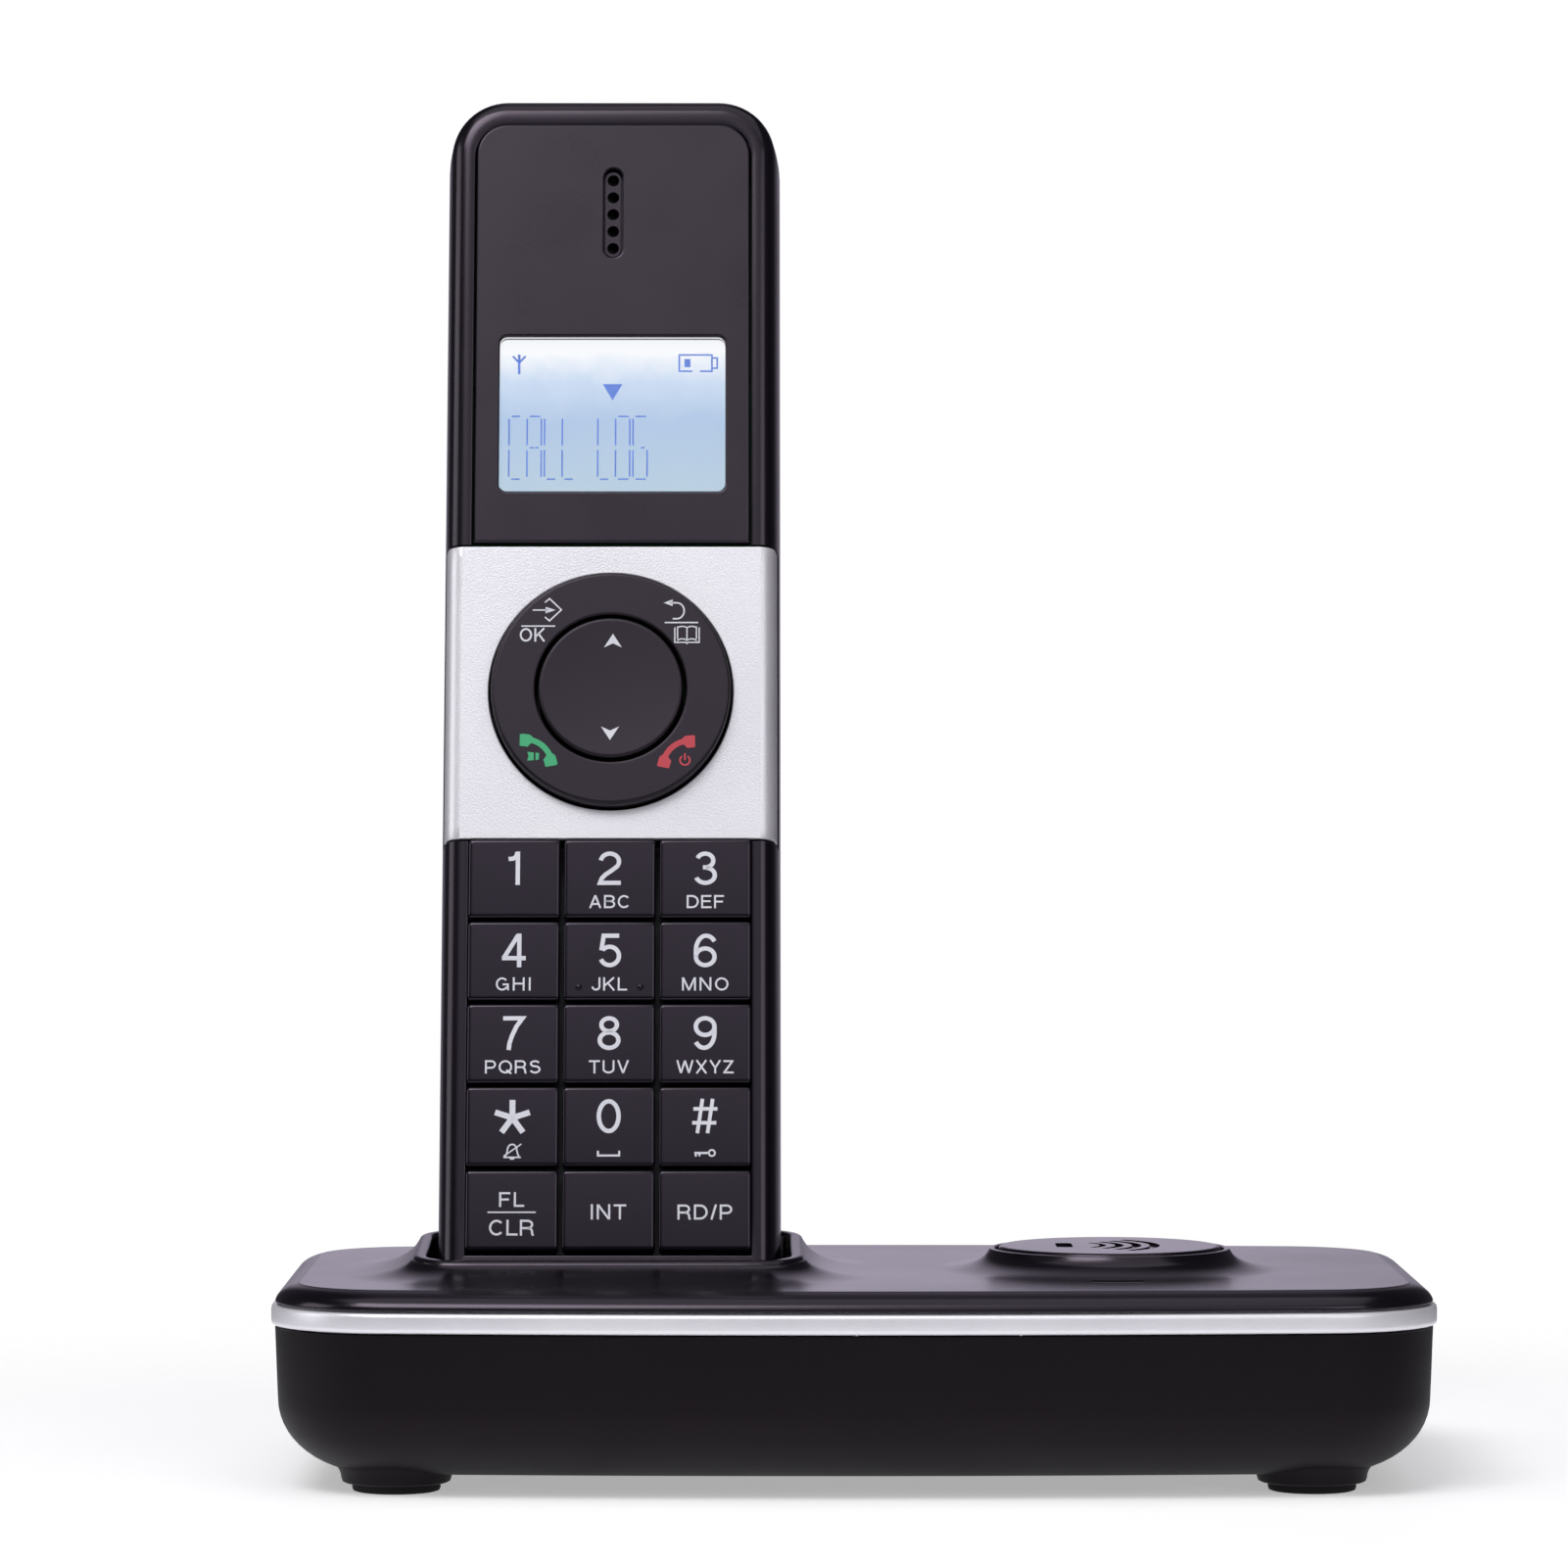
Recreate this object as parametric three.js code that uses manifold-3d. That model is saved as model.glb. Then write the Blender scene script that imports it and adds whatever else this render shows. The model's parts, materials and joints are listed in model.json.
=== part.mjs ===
// A cordless telephone standing in its charging base.
// Millimetres, +Z up, the keypad faces -Y, and the origin is under the middle of the whole object.
//
// The base is two moulded shells clamped round a silver trim band. The handset leans back in a cradle on
// the left, and a round find button stands in a flared collar on the right. The handset is two half
// shells, a silver band with a dial ring, a face plate with a display, and fifteen separate keys.

import * as THREE from "three";
import { mergeVertices } from "three/addons/utils/BufferGeometryUtils.js";
import Module from "manifold-3d";

const wasm = await Module();
wasm.setup();

// ---------------------------------------------------------------- driving dimensions
const WALL = 2; // shell thickness of the base
const GAP = 0.3; // running gap between neighbours
const LIP_WALL = 1.6; // the lip of the top shell that drops inside the band

// Base, about its own centre
const BASE = { width: 158, depth: 87, corner: 17, bow: 2.5 };
const FLOOR_Z = 2.4; // underside of the bottom shell
const BAND_Z = [22.5, 25.4]; // silver trim band
const DECK_Z = 28.1; // flat top face
const BAND_PROUD = 0.5; // the band stands out past both shells
const BOTTOM_ROUND = { across: 13, up: 10 }; // soft lower edge
const DECK_ROUND = { across: 3.4, up: DECK_Z - BAND_Z[1] };
const COLLAR = { flare: 9.5, rim: 1.9, rimZ: 31.6, slope: 0.07, corner: 6, back: 1.9 };
// room round the handset's lower end
const POCKET = { side: 1.2, ends: 0.7, corner: 4, wall: 1.6, floorZ: -0.5 };
const POCKET_WELL_Z = [-2.1, 16]; // the pocket's own walls and floor, under the deck

const FOOT = { x: 62, y: 25.5, radius: 6, bossRadius: 7.4, bossZ: 1.6, seat: 0.8 };
const BASE_SCREW = { x: 48, y: 24.5, headZ: [3.7, 5.2], headRadius: 2.6, shankRadius: 1.1, tipZ: 16 };
const SCREW_POST = { radius: 4, topZ: 9.5, headRadius: 3, headTopZ: 5.4, shankRadius: 1.5 };
const SCREW_BOSS = { radius: 3.2, footZ: 9.8, pilotRadius: 1.4, pilotTopZ: 18 };
const RECESS = { across: 1.4, half: 0.3, topZ: 4.5 }; // the cross in a screw head
const BUTTON = { x: 35.8, y: -0.5, radius: 15.4, top: 31.2, flange: 1.2, flangeZ: [23.6, 24.8] };
const BUTTON_STEM = { radius: 2, footZ: 11.6 };
const BUTTON_COLLAR = { rim: 1.4, flare: 7.5, hole: 0.45 };
const LIGHT = { x: 35.8, y: -24.6, width: 7.2, depth: 2.6, barFootZ: 22, pinRadius: 1.2 };
const BASE_BOARD = { x: [-60, 64], y: [-27, 27.5], z: [6.2, 7.8], postHole: 4.5 };
const LINE_JACK = { x: 8, width: 13, depth: 15, height: 12.6, socket: [9.8, 7.2, 11.5], sill: 2.6 };
const LATCH_SLOT = { half: 1.9, rise: 1, above: 1.4 };
const POWER_JACK = { x: 30, width: 9.4, depth: 14, height: 10.8, bore: 10, boreRadius: 3.2, pinRadius: 1 };
const JACK_FACE_Y = 40.6;

// Handset, in its own frame: X across, Y depth behind the front face, Z up from its lower end
const LEAN = THREE.MathUtils.degToRad(14.5);
const HANDSET = { width: 47.3, length: 174.8, thick: 24, topCorner: 8.7, lowCorner: 6 };
const HANDSET_AT = new THREE.Vector3(-33.5, -19.42, 23.24); // middle of its lower front edge
const FRONT_ROUND = 2.7;
const BACK_ROUND = { across: 8.5, up: 8 };
const SPLIT_Y = 10.5; // parting line of the two half shells
const SHELL = 1.8;
const TRIM = { z: [66.6, 108.6], thick: 1.2, proud: 0.25, sideDepth: 5 };
const PLATE = { width: 38.7, z: [109.3, 170.9], corner: 4.4, thick: 1.2 };
const WINDOW = { width: 31.8, z: [116.7, 139.5], corner: 1 };
const EAR_SLOT = { width: 1.8, z: [151.8, 163.6], holes: 5, holeRadius: 0.7 };
const EARPIECE_Z = 157.7;
const EARPIECE = { radius: 6.8, y: [2.8, 5.6], opening: 6.2 };
const DIAL_Z = 87.7;
const RING = { outer: 16.65, inner: 10.54, top: -2.1, flange: 18.1, flangeY: [4, 4.8] };
const WEB = { radii: [11.2, 16.8], y: [5.5, 6.6] };
const ROCKER = { radius: 10.03, top: -2.3, foot: 4.6, stemRadius: 3, stemEnd: 6.4 };
const KEY = { pitchX: 13.2, pitchZ: 11.63, gap: 0.55, lowestZ: 8.5, top: -0.7, foot: 3.2, bevel: 0.25 };
const MAT = { halfWidth: 20, y: [5.8, 6.6], padY: 4.3, padHalf: [4, 3.2] };
const KEY_ROWS = [
  ["key_clear", "key_intercom", "key_redial"],
  ["key_star", "key_0", "key_hash"],
  ["key_7", "key_8", "key_9"],
  ["key_4", "key_5", "key_6"],
  ["key_1", "key_2", "key_3"],
];
const HANDSET_BOARD = { width: 39.2, z: [9, 164], y: [7.6, 8.8], screwHole: 1.5 };
const MICROPHONE = { z: 5, y: [5.4, 7.2], radius: 1.4 };
const CELL = { radius: 5.25, length: 44.5, x: 5.6, y: 15.95, z: 40 };
const DOOR = { width: 36, z: [31, 106], thick: 1.6, travel: 4 };
const HANDSET_SCREW = {
  x: 14.6,
  z: 102.6,
  headY: [17.9, 19.5],
  headRadius: 2.2,
  shankRadius: 0.9,
  tipY: 4.3,
};
const TERMINAL = { halfWidth: 4, y: [12, 20], z: [37.2, 37.6], x: 5.9 };
const LINK = { halfWidth: 10.5, z: [86.9, 87.4] };
const SPRING_RADII = [2.4, 3.4]; // small and large end of a coil spring's envelope
const CONTACT_X = 10;
const CONTACT_Y = 12;
const CONTACT_SLOT = 1.5; // half the square hole that a sprung pin stands in

// The whole object stands with its outermost faces the same distance either side of the origin.
const CENTRING_Y = -1.2;

// ---------------------------------------------------------------- finishes
const finish = (color, roughness, metalness = 0) =>
  new THREE.MeshStandardMaterial({ color, roughness, metalness });
const SATIN_BLACK = finish(0x1b1a1e, 0.38);
const MATT_BLACK = finish(0x18171a, 0.6);
const GLOSS_BLACK = finish(0x1d1c22, 0.18);
const SILVER = finish(0xc9c8d0, 0.42, 0.6);
const RUBBER = finish(0x111111, 0.85);
const SILICONE = finish(0x8f9296, 0.7);
const BOARD_GREEN = finish(0x1f5a38, 0.5);
const NICKEL = finish(0xc2c2bd, 0.28, 1);
const STEEL = finish(0x8d8f92, 0.35, 1);
const CLEAR = finish(0xf4f8fb, 0.05);
const GLASS = finish(0xbcd3e8, 0.1);
const DIFFUSER = finish(0xf2f4f6, 0.5);
const CELL_WRAP = finish(0x2f7d54, 0.35);
const CONE_PAPER = finish(0x2a2a2c, 0.7);

// ---------------------------------------------------------------- solids
function toSolid(geometry) {
  const bare = geometry.index ? geometry.toNonIndexed() : geometry.clone();
  bare.deleteAttribute("normal");
  bare.deleteAttribute("uv");
  const merged = mergeVertices(bare, 1e-4);
  return new wasm.Manifold(
    new wasm.Mesh({
      numProp: 3,
      vertProperties: new Float32Array(merged.attributes.position.array),
      triVerts: new Uint32Array(merged.index.array),
    }),
  );
}

function toGeometry(solid) {
  const mesh = solid.getMesh();
  return new THREE.BufferGeometry()
    .setAttribute("position", new THREE.BufferAttribute(mesh.vertProperties, 3))
    .setIndex(new THREE.BufferAttribute(mesh.triVerts, 1));
}

const joined = (...solids) => solids.reduce((a, b) => a.add(b));
const cut = (solid, ...tools) => tools.reduce((a, b) => a.subtract(b), solid);

// A box from its lowest to its highest corner.
function box(x, y, z) {
  const g = new THREE.BoxGeometry(x[1] - x[0], y[1] - y[0], z[1] - z[0]);
  return toSolid(g.translate((x[0] + x[1]) / 2, (y[0] + y[1]) / 2, (z[0] + z[1]) / 2));
}

// A round bar standing along Z.
function post(x, y, z, radius, sides = 20, topRadius = radius) {
  const g = new THREE.CylinderGeometry(topRadius, radius, z[1] - z[0], sides);
  return toSolid(g.rotateX(Math.PI / 2).translate(x, y, (z[0] + z[1]) / 2));
}

// A round bar lying along Y, through (x, z).
function peg(x, z, y, radius, sides = 20) {
  const g = new THREE.CylinderGeometry(radius, radius, y[1] - y[0], sides);
  return toSolid(g.translate(x, (y[0] + y[1]) / 2, z));
}

// A flat outline carried from depth y[0] to y[1]: the outline's own Y becomes height.
function facePrism(outline, y, curveSegments = 5) {
  const options = { depth: y[1] - y[0], bevelEnabled: false, curveSegments };
  const g = new THREE.ExtrudeGeometry(outline, options);
  return toSolid(g.rotateX(Math.PI / 2).translate(0, y[1], 0));
}

// A rectangle with one corner radius for its upper corners and one for its lower ones.
function roundedRect(width, z, upper, lower = upper) {
  const x = width / 2;
  const s = new THREE.Shape();
  s.moveTo(-x + lower, z[0]);
  s.lineTo(x - lower, z[0]);
  s.absarc(x - lower, z[0] + lower, lower, -Math.PI / 2, 0);
  s.lineTo(x, z[1] - upper);
  s.absarc(x - upper, z[1] - upper, upper, 0, Math.PI / 2);
  s.lineTo(-x + upper, z[1]);
  s.absarc(-x + upper, z[1] - upper, upper, Math.PI / 2, Math.PI);
  s.lineTo(-x, z[0] + lower);
  s.absarc(-x + lower, z[0] + lower, lower, Math.PI, 1.5 * Math.PI);
  return s;
}

// The points of an outline once round, without repeats.
function ringOf(shape, divisions) {
  const points = [];
  for (const p of shape.getPoints(divisions))
    if (!points.length || p.distanceTo(points[points.length - 1]) > 1e-6) points.push(p);
  if (points[0].distanceTo(points[points.length - 1]) < 1e-6) points.pop();
  return points;
}

// A closed skin over rings of equal point counts. Each ring is an outline with a height for each point.
function loft(rings) {
  const count = rings[0].length;
  const index = [];
  const quad = (a, b, c, d) => index.push(a, b, c, a, c, d);
  for (let r = 0; r + 1 < rings.length; r++)
    for (let i = 0; i < count; i++) {
      const next = (i + 1) % count;
      quad(r * count + i, r * count + next, (r + 1) * count + next, (r + 1) * count + i);
    }
  const last = (rings.length - 1) * count;
  const flat = rings[0].map((p) => new THREE.Vector2(p.x, p.y));
  for (const [a, b, c] of THREE.ShapeUtils.triangulateShape(flat, []))
    index.push(a, c, b, last + a, last + b, last + c);
  const points = rings.flat().flatMap((p) => [p.x, p.y, p.z]);
  return new THREE.BufferGeometry()
    .setAttribute("position", new THREE.Float32BufferAttribute(points, 3))
    .setIndex(index);
}

const raised = (points, z) => points.map((p) => new THREE.Vector3(p.x, p.y, z));
const quarter = (steps) => Array.from({ length: steps + 1 }, (_, i) => (Math.PI / 2) * (i / steps));

const root = new THREE.Group();
root.position.y = CENTRING_Y;
const handset = new THREE.Group();
handset.position.copy(HANDSET_AT);
handset.rotation.x = -LEAN;
handset.updateMatrix();
root.add(handset);

function addPart(group, name, solid, material) {
  const mesh = new THREE.Mesh(toGeometry(solid), material);
  mesh.name = name;
  group.add(mesh);
}

// ---------------------------------------------------------------- base shells
// The base's outline, drawn in by an inset: round corners, with the front and back edges bowed out.
function baseRing(inset, divisions = 4) {
  const x = BASE.width / 2 - inset;
  const y = BASE.depth / 2 - inset;
  const r = Math.max(BASE.corner - inset, 2);
  const edge = y - BASE.bow;
  const s = new THREE.Shape();
  s.moveTo(-x + r, -edge);
  s.quadraticCurveTo(0, -y - BASE.bow, x - r, -edge);
  s.absarc(x - r, -edge + r, r, -Math.PI / 2, 0);
  s.lineTo(x, edge - r);
  s.absarc(x - r, edge - r, r, 0, Math.PI / 2);
  s.quadraticCurveTo(0, y + BASE.bow, -x + r, edge);
  s.absarc(-x + r, edge - r, r, Math.PI / 2, Math.PI);
  s.lineTo(-x, -edge + r);
  s.absarc(-x + r, -edge + r, r, Math.PI, 1.5 * Math.PI);
  return ringOf(s, divisions);
}

// The bottom shell's outer form: a flat floor, a soft elliptical edge, then nearly upright walls.
function tubForm(extra, floor, top, steps) {
  const rings = quarter(steps).map((a) => {
    const inset = BAND_PROUD + 0.4 + extra + BOTTOM_ROUND.across * (1 - Math.sin(a));
    return raised(baseRing(inset), floor + BOTTOM_ROUND.up * (1 - Math.cos(a)));
  });
  rings.push(raised(baseRing(BAND_PROUD + extra), top));
  return toSolid(loft(rings));
}

const corners = [
  [-1, -1],
  [1, -1],
  [-1, 1],
  [1, 1],
];

function jackOpening(jack, boardTop) {
  const half = jack.width / 2 + GAP;
  const z = [boardTop - GAP, boardTop + jack.height + GAP];
  return box([jack.x - half, jack.x + half], [30, 60], z);
}

function bottomShell() {
  let shell = cut(
    tubForm(0, FLOOR_Z, BAND_Z[0], 5),
    tubForm(WALL, FLOOR_Z + WALL, BAND_Z[0] + 1, 2),
  );
  for (const [sx, sy] of corners) {
    const [fx, fy] = [sx * FOOT.x, sy * FOOT.y];
    shell = shell.add(post(fx, fy, [FOOT.bossZ, 5], FOOT.bossRadius, 14));
    shell = cut(shell, post(fx, fy, [0, FOOT.bossZ + FOOT.seat], FOOT.radius + 0.25, 14));
    const [px, py] = [sx * BASE_SCREW.x, sy * BASE_SCREW.y];
    shell = shell.add(post(px, py, [FLOOR_Z + 1, SCREW_POST.topZ], SCREW_POST.radius, 10));
    shell = cut(
      shell,
      post(px, py, [0, SCREW_POST.headTopZ], SCREW_POST.headRadius, 10), // counterbore for the head
      post(px, py, [5, 10], SCREW_POST.shankRadius, 8), // clearance for the shank
    );
  }
  shell = cut(
    shell,
    jackOpening(LINE_JACK, BASE_BOARD.z[1]),
    jackOpening(POWER_JACK, BASE_BOARD.z[1]),
  );
  return shell;
}

// The pocket that the handset stands in, in the handset's own frame.
function pocket(clear, z) {
  const s = new THREE.Shape();
  const halfX = HANDSET.width / 2 + POCKET.side + clear;
  const front = -POCKET.ends - clear;
  const back = HANDSET.thick + POCKET.ends + clear;
  const r = POCKET.corner + clear;
  s.moveTo(-halfX + r, front);
  s.lineTo(halfX - r, front);
  s.absarc(halfX - r, front + r, r, -Math.PI / 2, 0);
  s.lineTo(halfX, back - r);
  s.absarc(halfX - r, back - r, r, 0, Math.PI / 2);
  s.lineTo(-halfX + r, back);
  s.absarc(-halfX + r, back - r, r, Math.PI / 2, Math.PI);
  s.lineTo(-halfX, front + r);
  s.absarc(-halfX + r, front + r, r, Math.PI, 1.5 * Math.PI);
  const g = new THREE.ExtrudeGeometry(s, {
    depth: z[1] - z[0],
    bevelEnabled: false,
    curveSegments: 4,
  });
  return toSolid(g.translate(0, 0, z[0]).applyMatrix4(handset.matrix));
}

// A flared collar: its section sweeps up from the deck, tangent to it, to an upright rim.
function cradleCollar() {
  const halfThick = HANDSET.thick / 2 / Math.cos(LEAN);
  const halfX = HANDSET.width / 2 + POCKET.side + COLLAR.rim;
  const halfY = halfThick + POCKET.ends + COLLAR.rim;
  const centreY = HANDSET_AT.y + COLLAR.back + halfThick;
  const ring = (a) => {
    const out = COLLAR.flare * (1 - Math.sin(a));
    const share = 1 - Math.cos(a);
    const s = roundedRect(2 * (halfX + out), [-halfY - out, halfY + out], COLLAR.corner + out);
    return ringOf(s, 3).map((p) => {
      const rim = COLLAR.rimZ - DECK_Z + COLLAR.slope * p.y;
      return new THREE.Vector3(p.x + HANDSET_AT.x, p.y + centreY, DECK_Z + rim * share);
    });
  };
  const rings = quarter(4).map(ring);
  const sunk = rings[0].map((p) => new THREE.Vector3(p.x, p.y, DECK_Z - 1));
  return toSolid(loft([sunk, ...rings]));
}

function buttonCollar() {
  const rim = BUTTON.radius + BUTTON_COLLAR.rim;
  const { flare } = BUTTON_COLLAR;
  const height = BUTTON.top - 0.3 - DECK_Z;
  const profile = quarter(4).map(
    (a) => new THREE.Vector2(rim + flare * (1 - Math.sin(a)), DECK_Z + height * (1 - Math.cos(a))),
  );
  profile.unshift(new THREE.Vector2(rim + flare, DECK_Z - 1));
  profile.unshift(new THREE.Vector2(0, DECK_Z - 1));
  profile.push(new THREE.Vector2(0, DECK_Z + height));
  const g = new THREE.LatheGeometry(profile, 28).rotateX(Math.PI / 2);
  return toSolid(g.translate(BUTTON.x, BUTTON.y, 0));
}

function topShell() {
  const rings = quarter(4).map((a) => {
    const inset = BAND_PROUD + DECK_ROUND.across * (1 - Math.cos(a));
    return raised(baseRing(inset), BAND_Z[1] + DECK_ROUND.up * Math.sin(a));
  });
  const lip = raised(baseRing(BAND_PROUD + WALL + GAP), BAND_Z[0] + 0.3);
  const lipTop = raised(baseRing(BAND_PROUD + WALL + GAP), BAND_Z[1]);
  const outer = toSolid(loft(rings)).add(toSolid(loft([lip, lipTop])));
  const inside = baseRing(BAND_PROUD + WALL + GAP + LIP_WALL);
  const hollow = toSolid(loft([raised(inside, 20), raised(inside, DECK_Z - WALL)]));
  let shell = cut(outer, hollow).add(cradleCollar()).add(buttonCollar());

  const underDeck = box([-90, 90], [-60, 60], [0, DECK_Z - 0.2]);
  const well = pocket(POCKET.wall, POCKET_WELL_Z).intersect(underDeck);
  shell = shell.add(well).subtract(pocket(0, [POCKET.floorZ, 40]));
  for (const side of [-1, 1]) {
    const slot = box(
      [side * CONTACT_X - CONTACT_SLOT, side * CONTACT_X + CONTACT_SLOT],
      [CONTACT_Y - CONTACT_SLOT, CONTACT_Y + CONTACT_SLOT],
      [-6, 3],
    );
    shell = shell.subtract(slot.transform(handset.matrix.elements));
  }
  shell = cut(
    shell,
    post(BUTTON.x, BUTTON.y, [20, 40], BUTTON.radius + BUTTON_COLLAR.hole, 28),
    box(
      [LIGHT.x - LIGHT.width / 2 - 0.2, LIGHT.x + LIGHT.width / 2 + 0.2],
      [LIGHT.y - LIGHT.depth / 2 - 0.2, LIGHT.y + LIGHT.depth / 2 + 0.2],
      [20, 40],
    ),
  );
  for (const [sx, sy] of corners) {
    const [px, py] = [sx * BASE_SCREW.x, sy * BASE_SCREW.y];
    shell = shell.add(post(px, py, [SCREW_BOSS.footZ, DECK_Z - 1], SCREW_BOSS.radius, 8));
    shell = shell.subtract(post(px, py, [9, SCREW_BOSS.pilotTopZ], SCREW_BOSS.pilotRadius, 8));
  }
  return shell;
}

function trimBand() {
  const outer = toSolid(
    loft([raised(baseRing(0), BAND_Z[0] + GAP / 2), raised(baseRing(0.15), BAND_Z[1] - GAP / 2)]),
  );
  const hole = baseRing(BAND_PROUD + WALL);
  return outer.subtract(toSolid(loft([raised(hole, 10), raised(hole, 40)])));
}

addPart(root, "base_bottom_shell", bottomShell(), MATT_BLACK);
addPart(root, "base_top_shell", topShell(), SATIN_BLACK);
addPart(root, "base_trim_band", trimBand(), SILVER);

// ---------------------------------------------------------------- feet and screws of the base
const FOOT_NAMES = ["foot_front_left", "foot_front_right", "foot_rear_left", "foot_rear_right"];
corners.forEach(([sx, sy], i) => {
  const foot = post(sx * FOOT.x, sy * FOOT.y, [0, FOOT.bossZ + 0.5], FOOT.radius, 14);
  addPart(root, FOOT_NAMES[i], foot, RUBBER);

  const [px, py] = [sx * BASE_SCREW.x, sy * BASE_SCREW.y];
  const head = post(px, py, BASE_SCREW.headZ, BASE_SCREW.headRadius, 10);
  const shank = post(px, py, [5, BASE_SCREW.tipZ], BASE_SCREW.shankRadius, 8);
  const { across, half, topZ } = RECESS;
  const cross = joined(
    box([px - across, px + across], [py - half, py + half], [3, topZ]),
    box([px - half, px + half], [py - across, py + across], [3, topZ]),
  );
  const screw = cut(head.add(shank), cross);
  addPart(root, "base_screw_" + (i + 1), screw, STEEL);
});

// ---------------------------------------------------------------- base electronics
function baseBoard() {
  let board = box(BASE_BOARD.x, BASE_BOARD.y, BASE_BOARD.z);
  for (const [sx, sy] of corners)
    board = board.subtract(
      post(sx * BASE_SCREW.x, sy * BASE_SCREW.y, [0, 20], BASE_BOARD.postHole, 10),
    );
  return board;
}
addPart(root, "base_circuit_board", baseBoard(), BOARD_GREEN);

function lineJack() {
  const z = [BASE_BOARD.z[1] + 0.1, BASE_BOARD.z[1] + LINE_JACK.height];
  const halfX = LINE_JACK.width / 2;
  const [sw, sh, sd] = LINE_JACK.socket;
  const body = box(
    [LINE_JACK.x - halfX, LINE_JACK.x + halfX],
    [JACK_FACE_Y - LINE_JACK.depth, JACK_FACE_Y],
    z,
  );
  const low = z[0] + LINE_JACK.sill;
  const socket = box(
    [LINE_JACK.x - sw / 2, LINE_JACK.x + sw / 2],
    [JACK_FACE_Y - sd, JACK_FACE_Y + 1],
    [low, low + sh],
  );
  const latchSlot = box(
    [LINE_JACK.x - LATCH_SLOT.half, LINE_JACK.x + LATCH_SLOT.half],
    [JACK_FACE_Y - sd, JACK_FACE_Y + 1],
    [low + LATCH_SLOT.rise, low + sh + LATCH_SLOT.above],
  );
  return cut(body, socket, latchSlot);
}

function powerJack() {
  const z = [BASE_BOARD.z[1] + 0.1, BASE_BOARD.z[1] + POWER_JACK.height];
  const halfX = POWER_JACK.width / 2;
  const middle = (z[0] + z[1]) / 2;
  const face = [JACK_FACE_Y - POWER_JACK.depth, JACK_FACE_Y];
  const body = box([POWER_JACK.x - halfX, POWER_JACK.x + halfX], face, z);
  const inner = JACK_FACE_Y - POWER_JACK.bore;
  const bore = peg(POWER_JACK.x, middle, [inner, JACK_FACE_Y + 1], POWER_JACK.boreRadius);
  const pin = peg(POWER_JACK.x, middle, [inner - 1, JACK_FACE_Y - 1], POWER_JACK.pinRadius, 12);
  return body.subtract(bore).add(pin);
}
addPart(root, "line_jack", lineJack(), MATT_BLACK);
addPart(root, "power_jack", powerJack(), MATT_BLACK);

// The find button: a crowned cap, a retaining flange under the deck, and a stem over its switch.
function findButton() {
  const { radius, top, flange, flangeZ } = BUTTON;
  const profile = [
    new THREE.Vector2(0, BUTTON_STEM.footZ),
    new THREE.Vector2(BUTTON_STEM.radius, BUTTON_STEM.footZ),
    new THREE.Vector2(BUTTON_STEM.radius, flangeZ[0]),
    new THREE.Vector2(radius + flange, flangeZ[0]),
    new THREE.Vector2(radius + flange, flangeZ[1]),
    new THREE.Vector2(radius, flangeZ[1]),
    new THREE.Vector2(radius, top - 0.5),
    new THREE.Vector2(radius - 0.5, top - 0.1),
    new THREE.Vector2(0, top),
  ];
  const g = new THREE.LatheGeometry(profile, 28).rotateX(Math.PI / 2);
  return toSolid(g.translate(BUTTON.x, BUTTON.y, 0));
}
addPart(root, "find_button", findButton(), SATIN_BLACK);

const switchBody = joined(
  box(
    [BUTTON.x - 3, BUTTON.x + 3],
    [BUTTON.y - 3, BUTTON.y + 3],
    [BASE_BOARD.z[1] + 0.1, BASE_BOARD.z[1] + 2],
  ),
  post(BUTTON.x, BUTTON.y, [BASE_BOARD.z[1] + 1.5, BASE_BOARD.z[1] + 2.8], 1.6, 12),
);
addPart(root, "find_button_switch", switchBody, CONE_PAPER);

// A clear bar that carries light from the board to a flush window in the deck.
const lightGuide = joined(
  box(
    [LIGHT.x - LIGHT.width / 2, LIGHT.x + LIGHT.width / 2],
    [LIGHT.y - LIGHT.depth / 2, LIGHT.y + LIGHT.depth / 2],
    [LIGHT.barFootZ, DECK_Z - 0.1],
  ),
  post(LIGHT.x, LIGHT.y, [BASE_BOARD.z[1] + 1, LIGHT.barFootZ + 0.5], LIGHT.pinRadius, 12),
);
addPart(root, "status_light_guide", lightGuide, CLEAR);

// A sprung pin in the cradle floor: a domed nickel tip on a plain barrel.
function chargeContact(side) {
  const profile = [
    new THREE.Vector2(0, -7.5),
    new THREE.Vector2(1.1, -7.5),
    new THREE.Vector2(1.1, -1.4),
    new THREE.Vector2(1, -0.8),
    new THREE.Vector2(0.6, -0.4),
    new THREE.Vector2(0, -0.3),
  ];
  const g = new THREE.LatheGeometry(profile, 12).rotateX(Math.PI / 2);
  return toSolid(g.translate(side * CONTACT_X, CONTACT_Y, 0));
}
addPart(handset, "charge_contact_left", chargeContact(-1), NICKEL);
addPart(handset, "charge_contact_right", chargeContact(1), NICKEL);

// ---------------------------------------------------------------- handset shells
// The handset's outline, drawn in by an inset, with its height as the outline's Y.
function handsetRing(inset, divisions = 3) {
  const upper = Math.max(HANDSET.topCorner - inset, 1.2);
  const lower = Math.max(HANDSET.lowCorner - inset, 1.2);
  const width = HANDSET.width - 2 * inset;
  return ringOf(roundedRect(width, [inset, HANDSET.length - inset], upper, lower), divisions);
}

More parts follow.
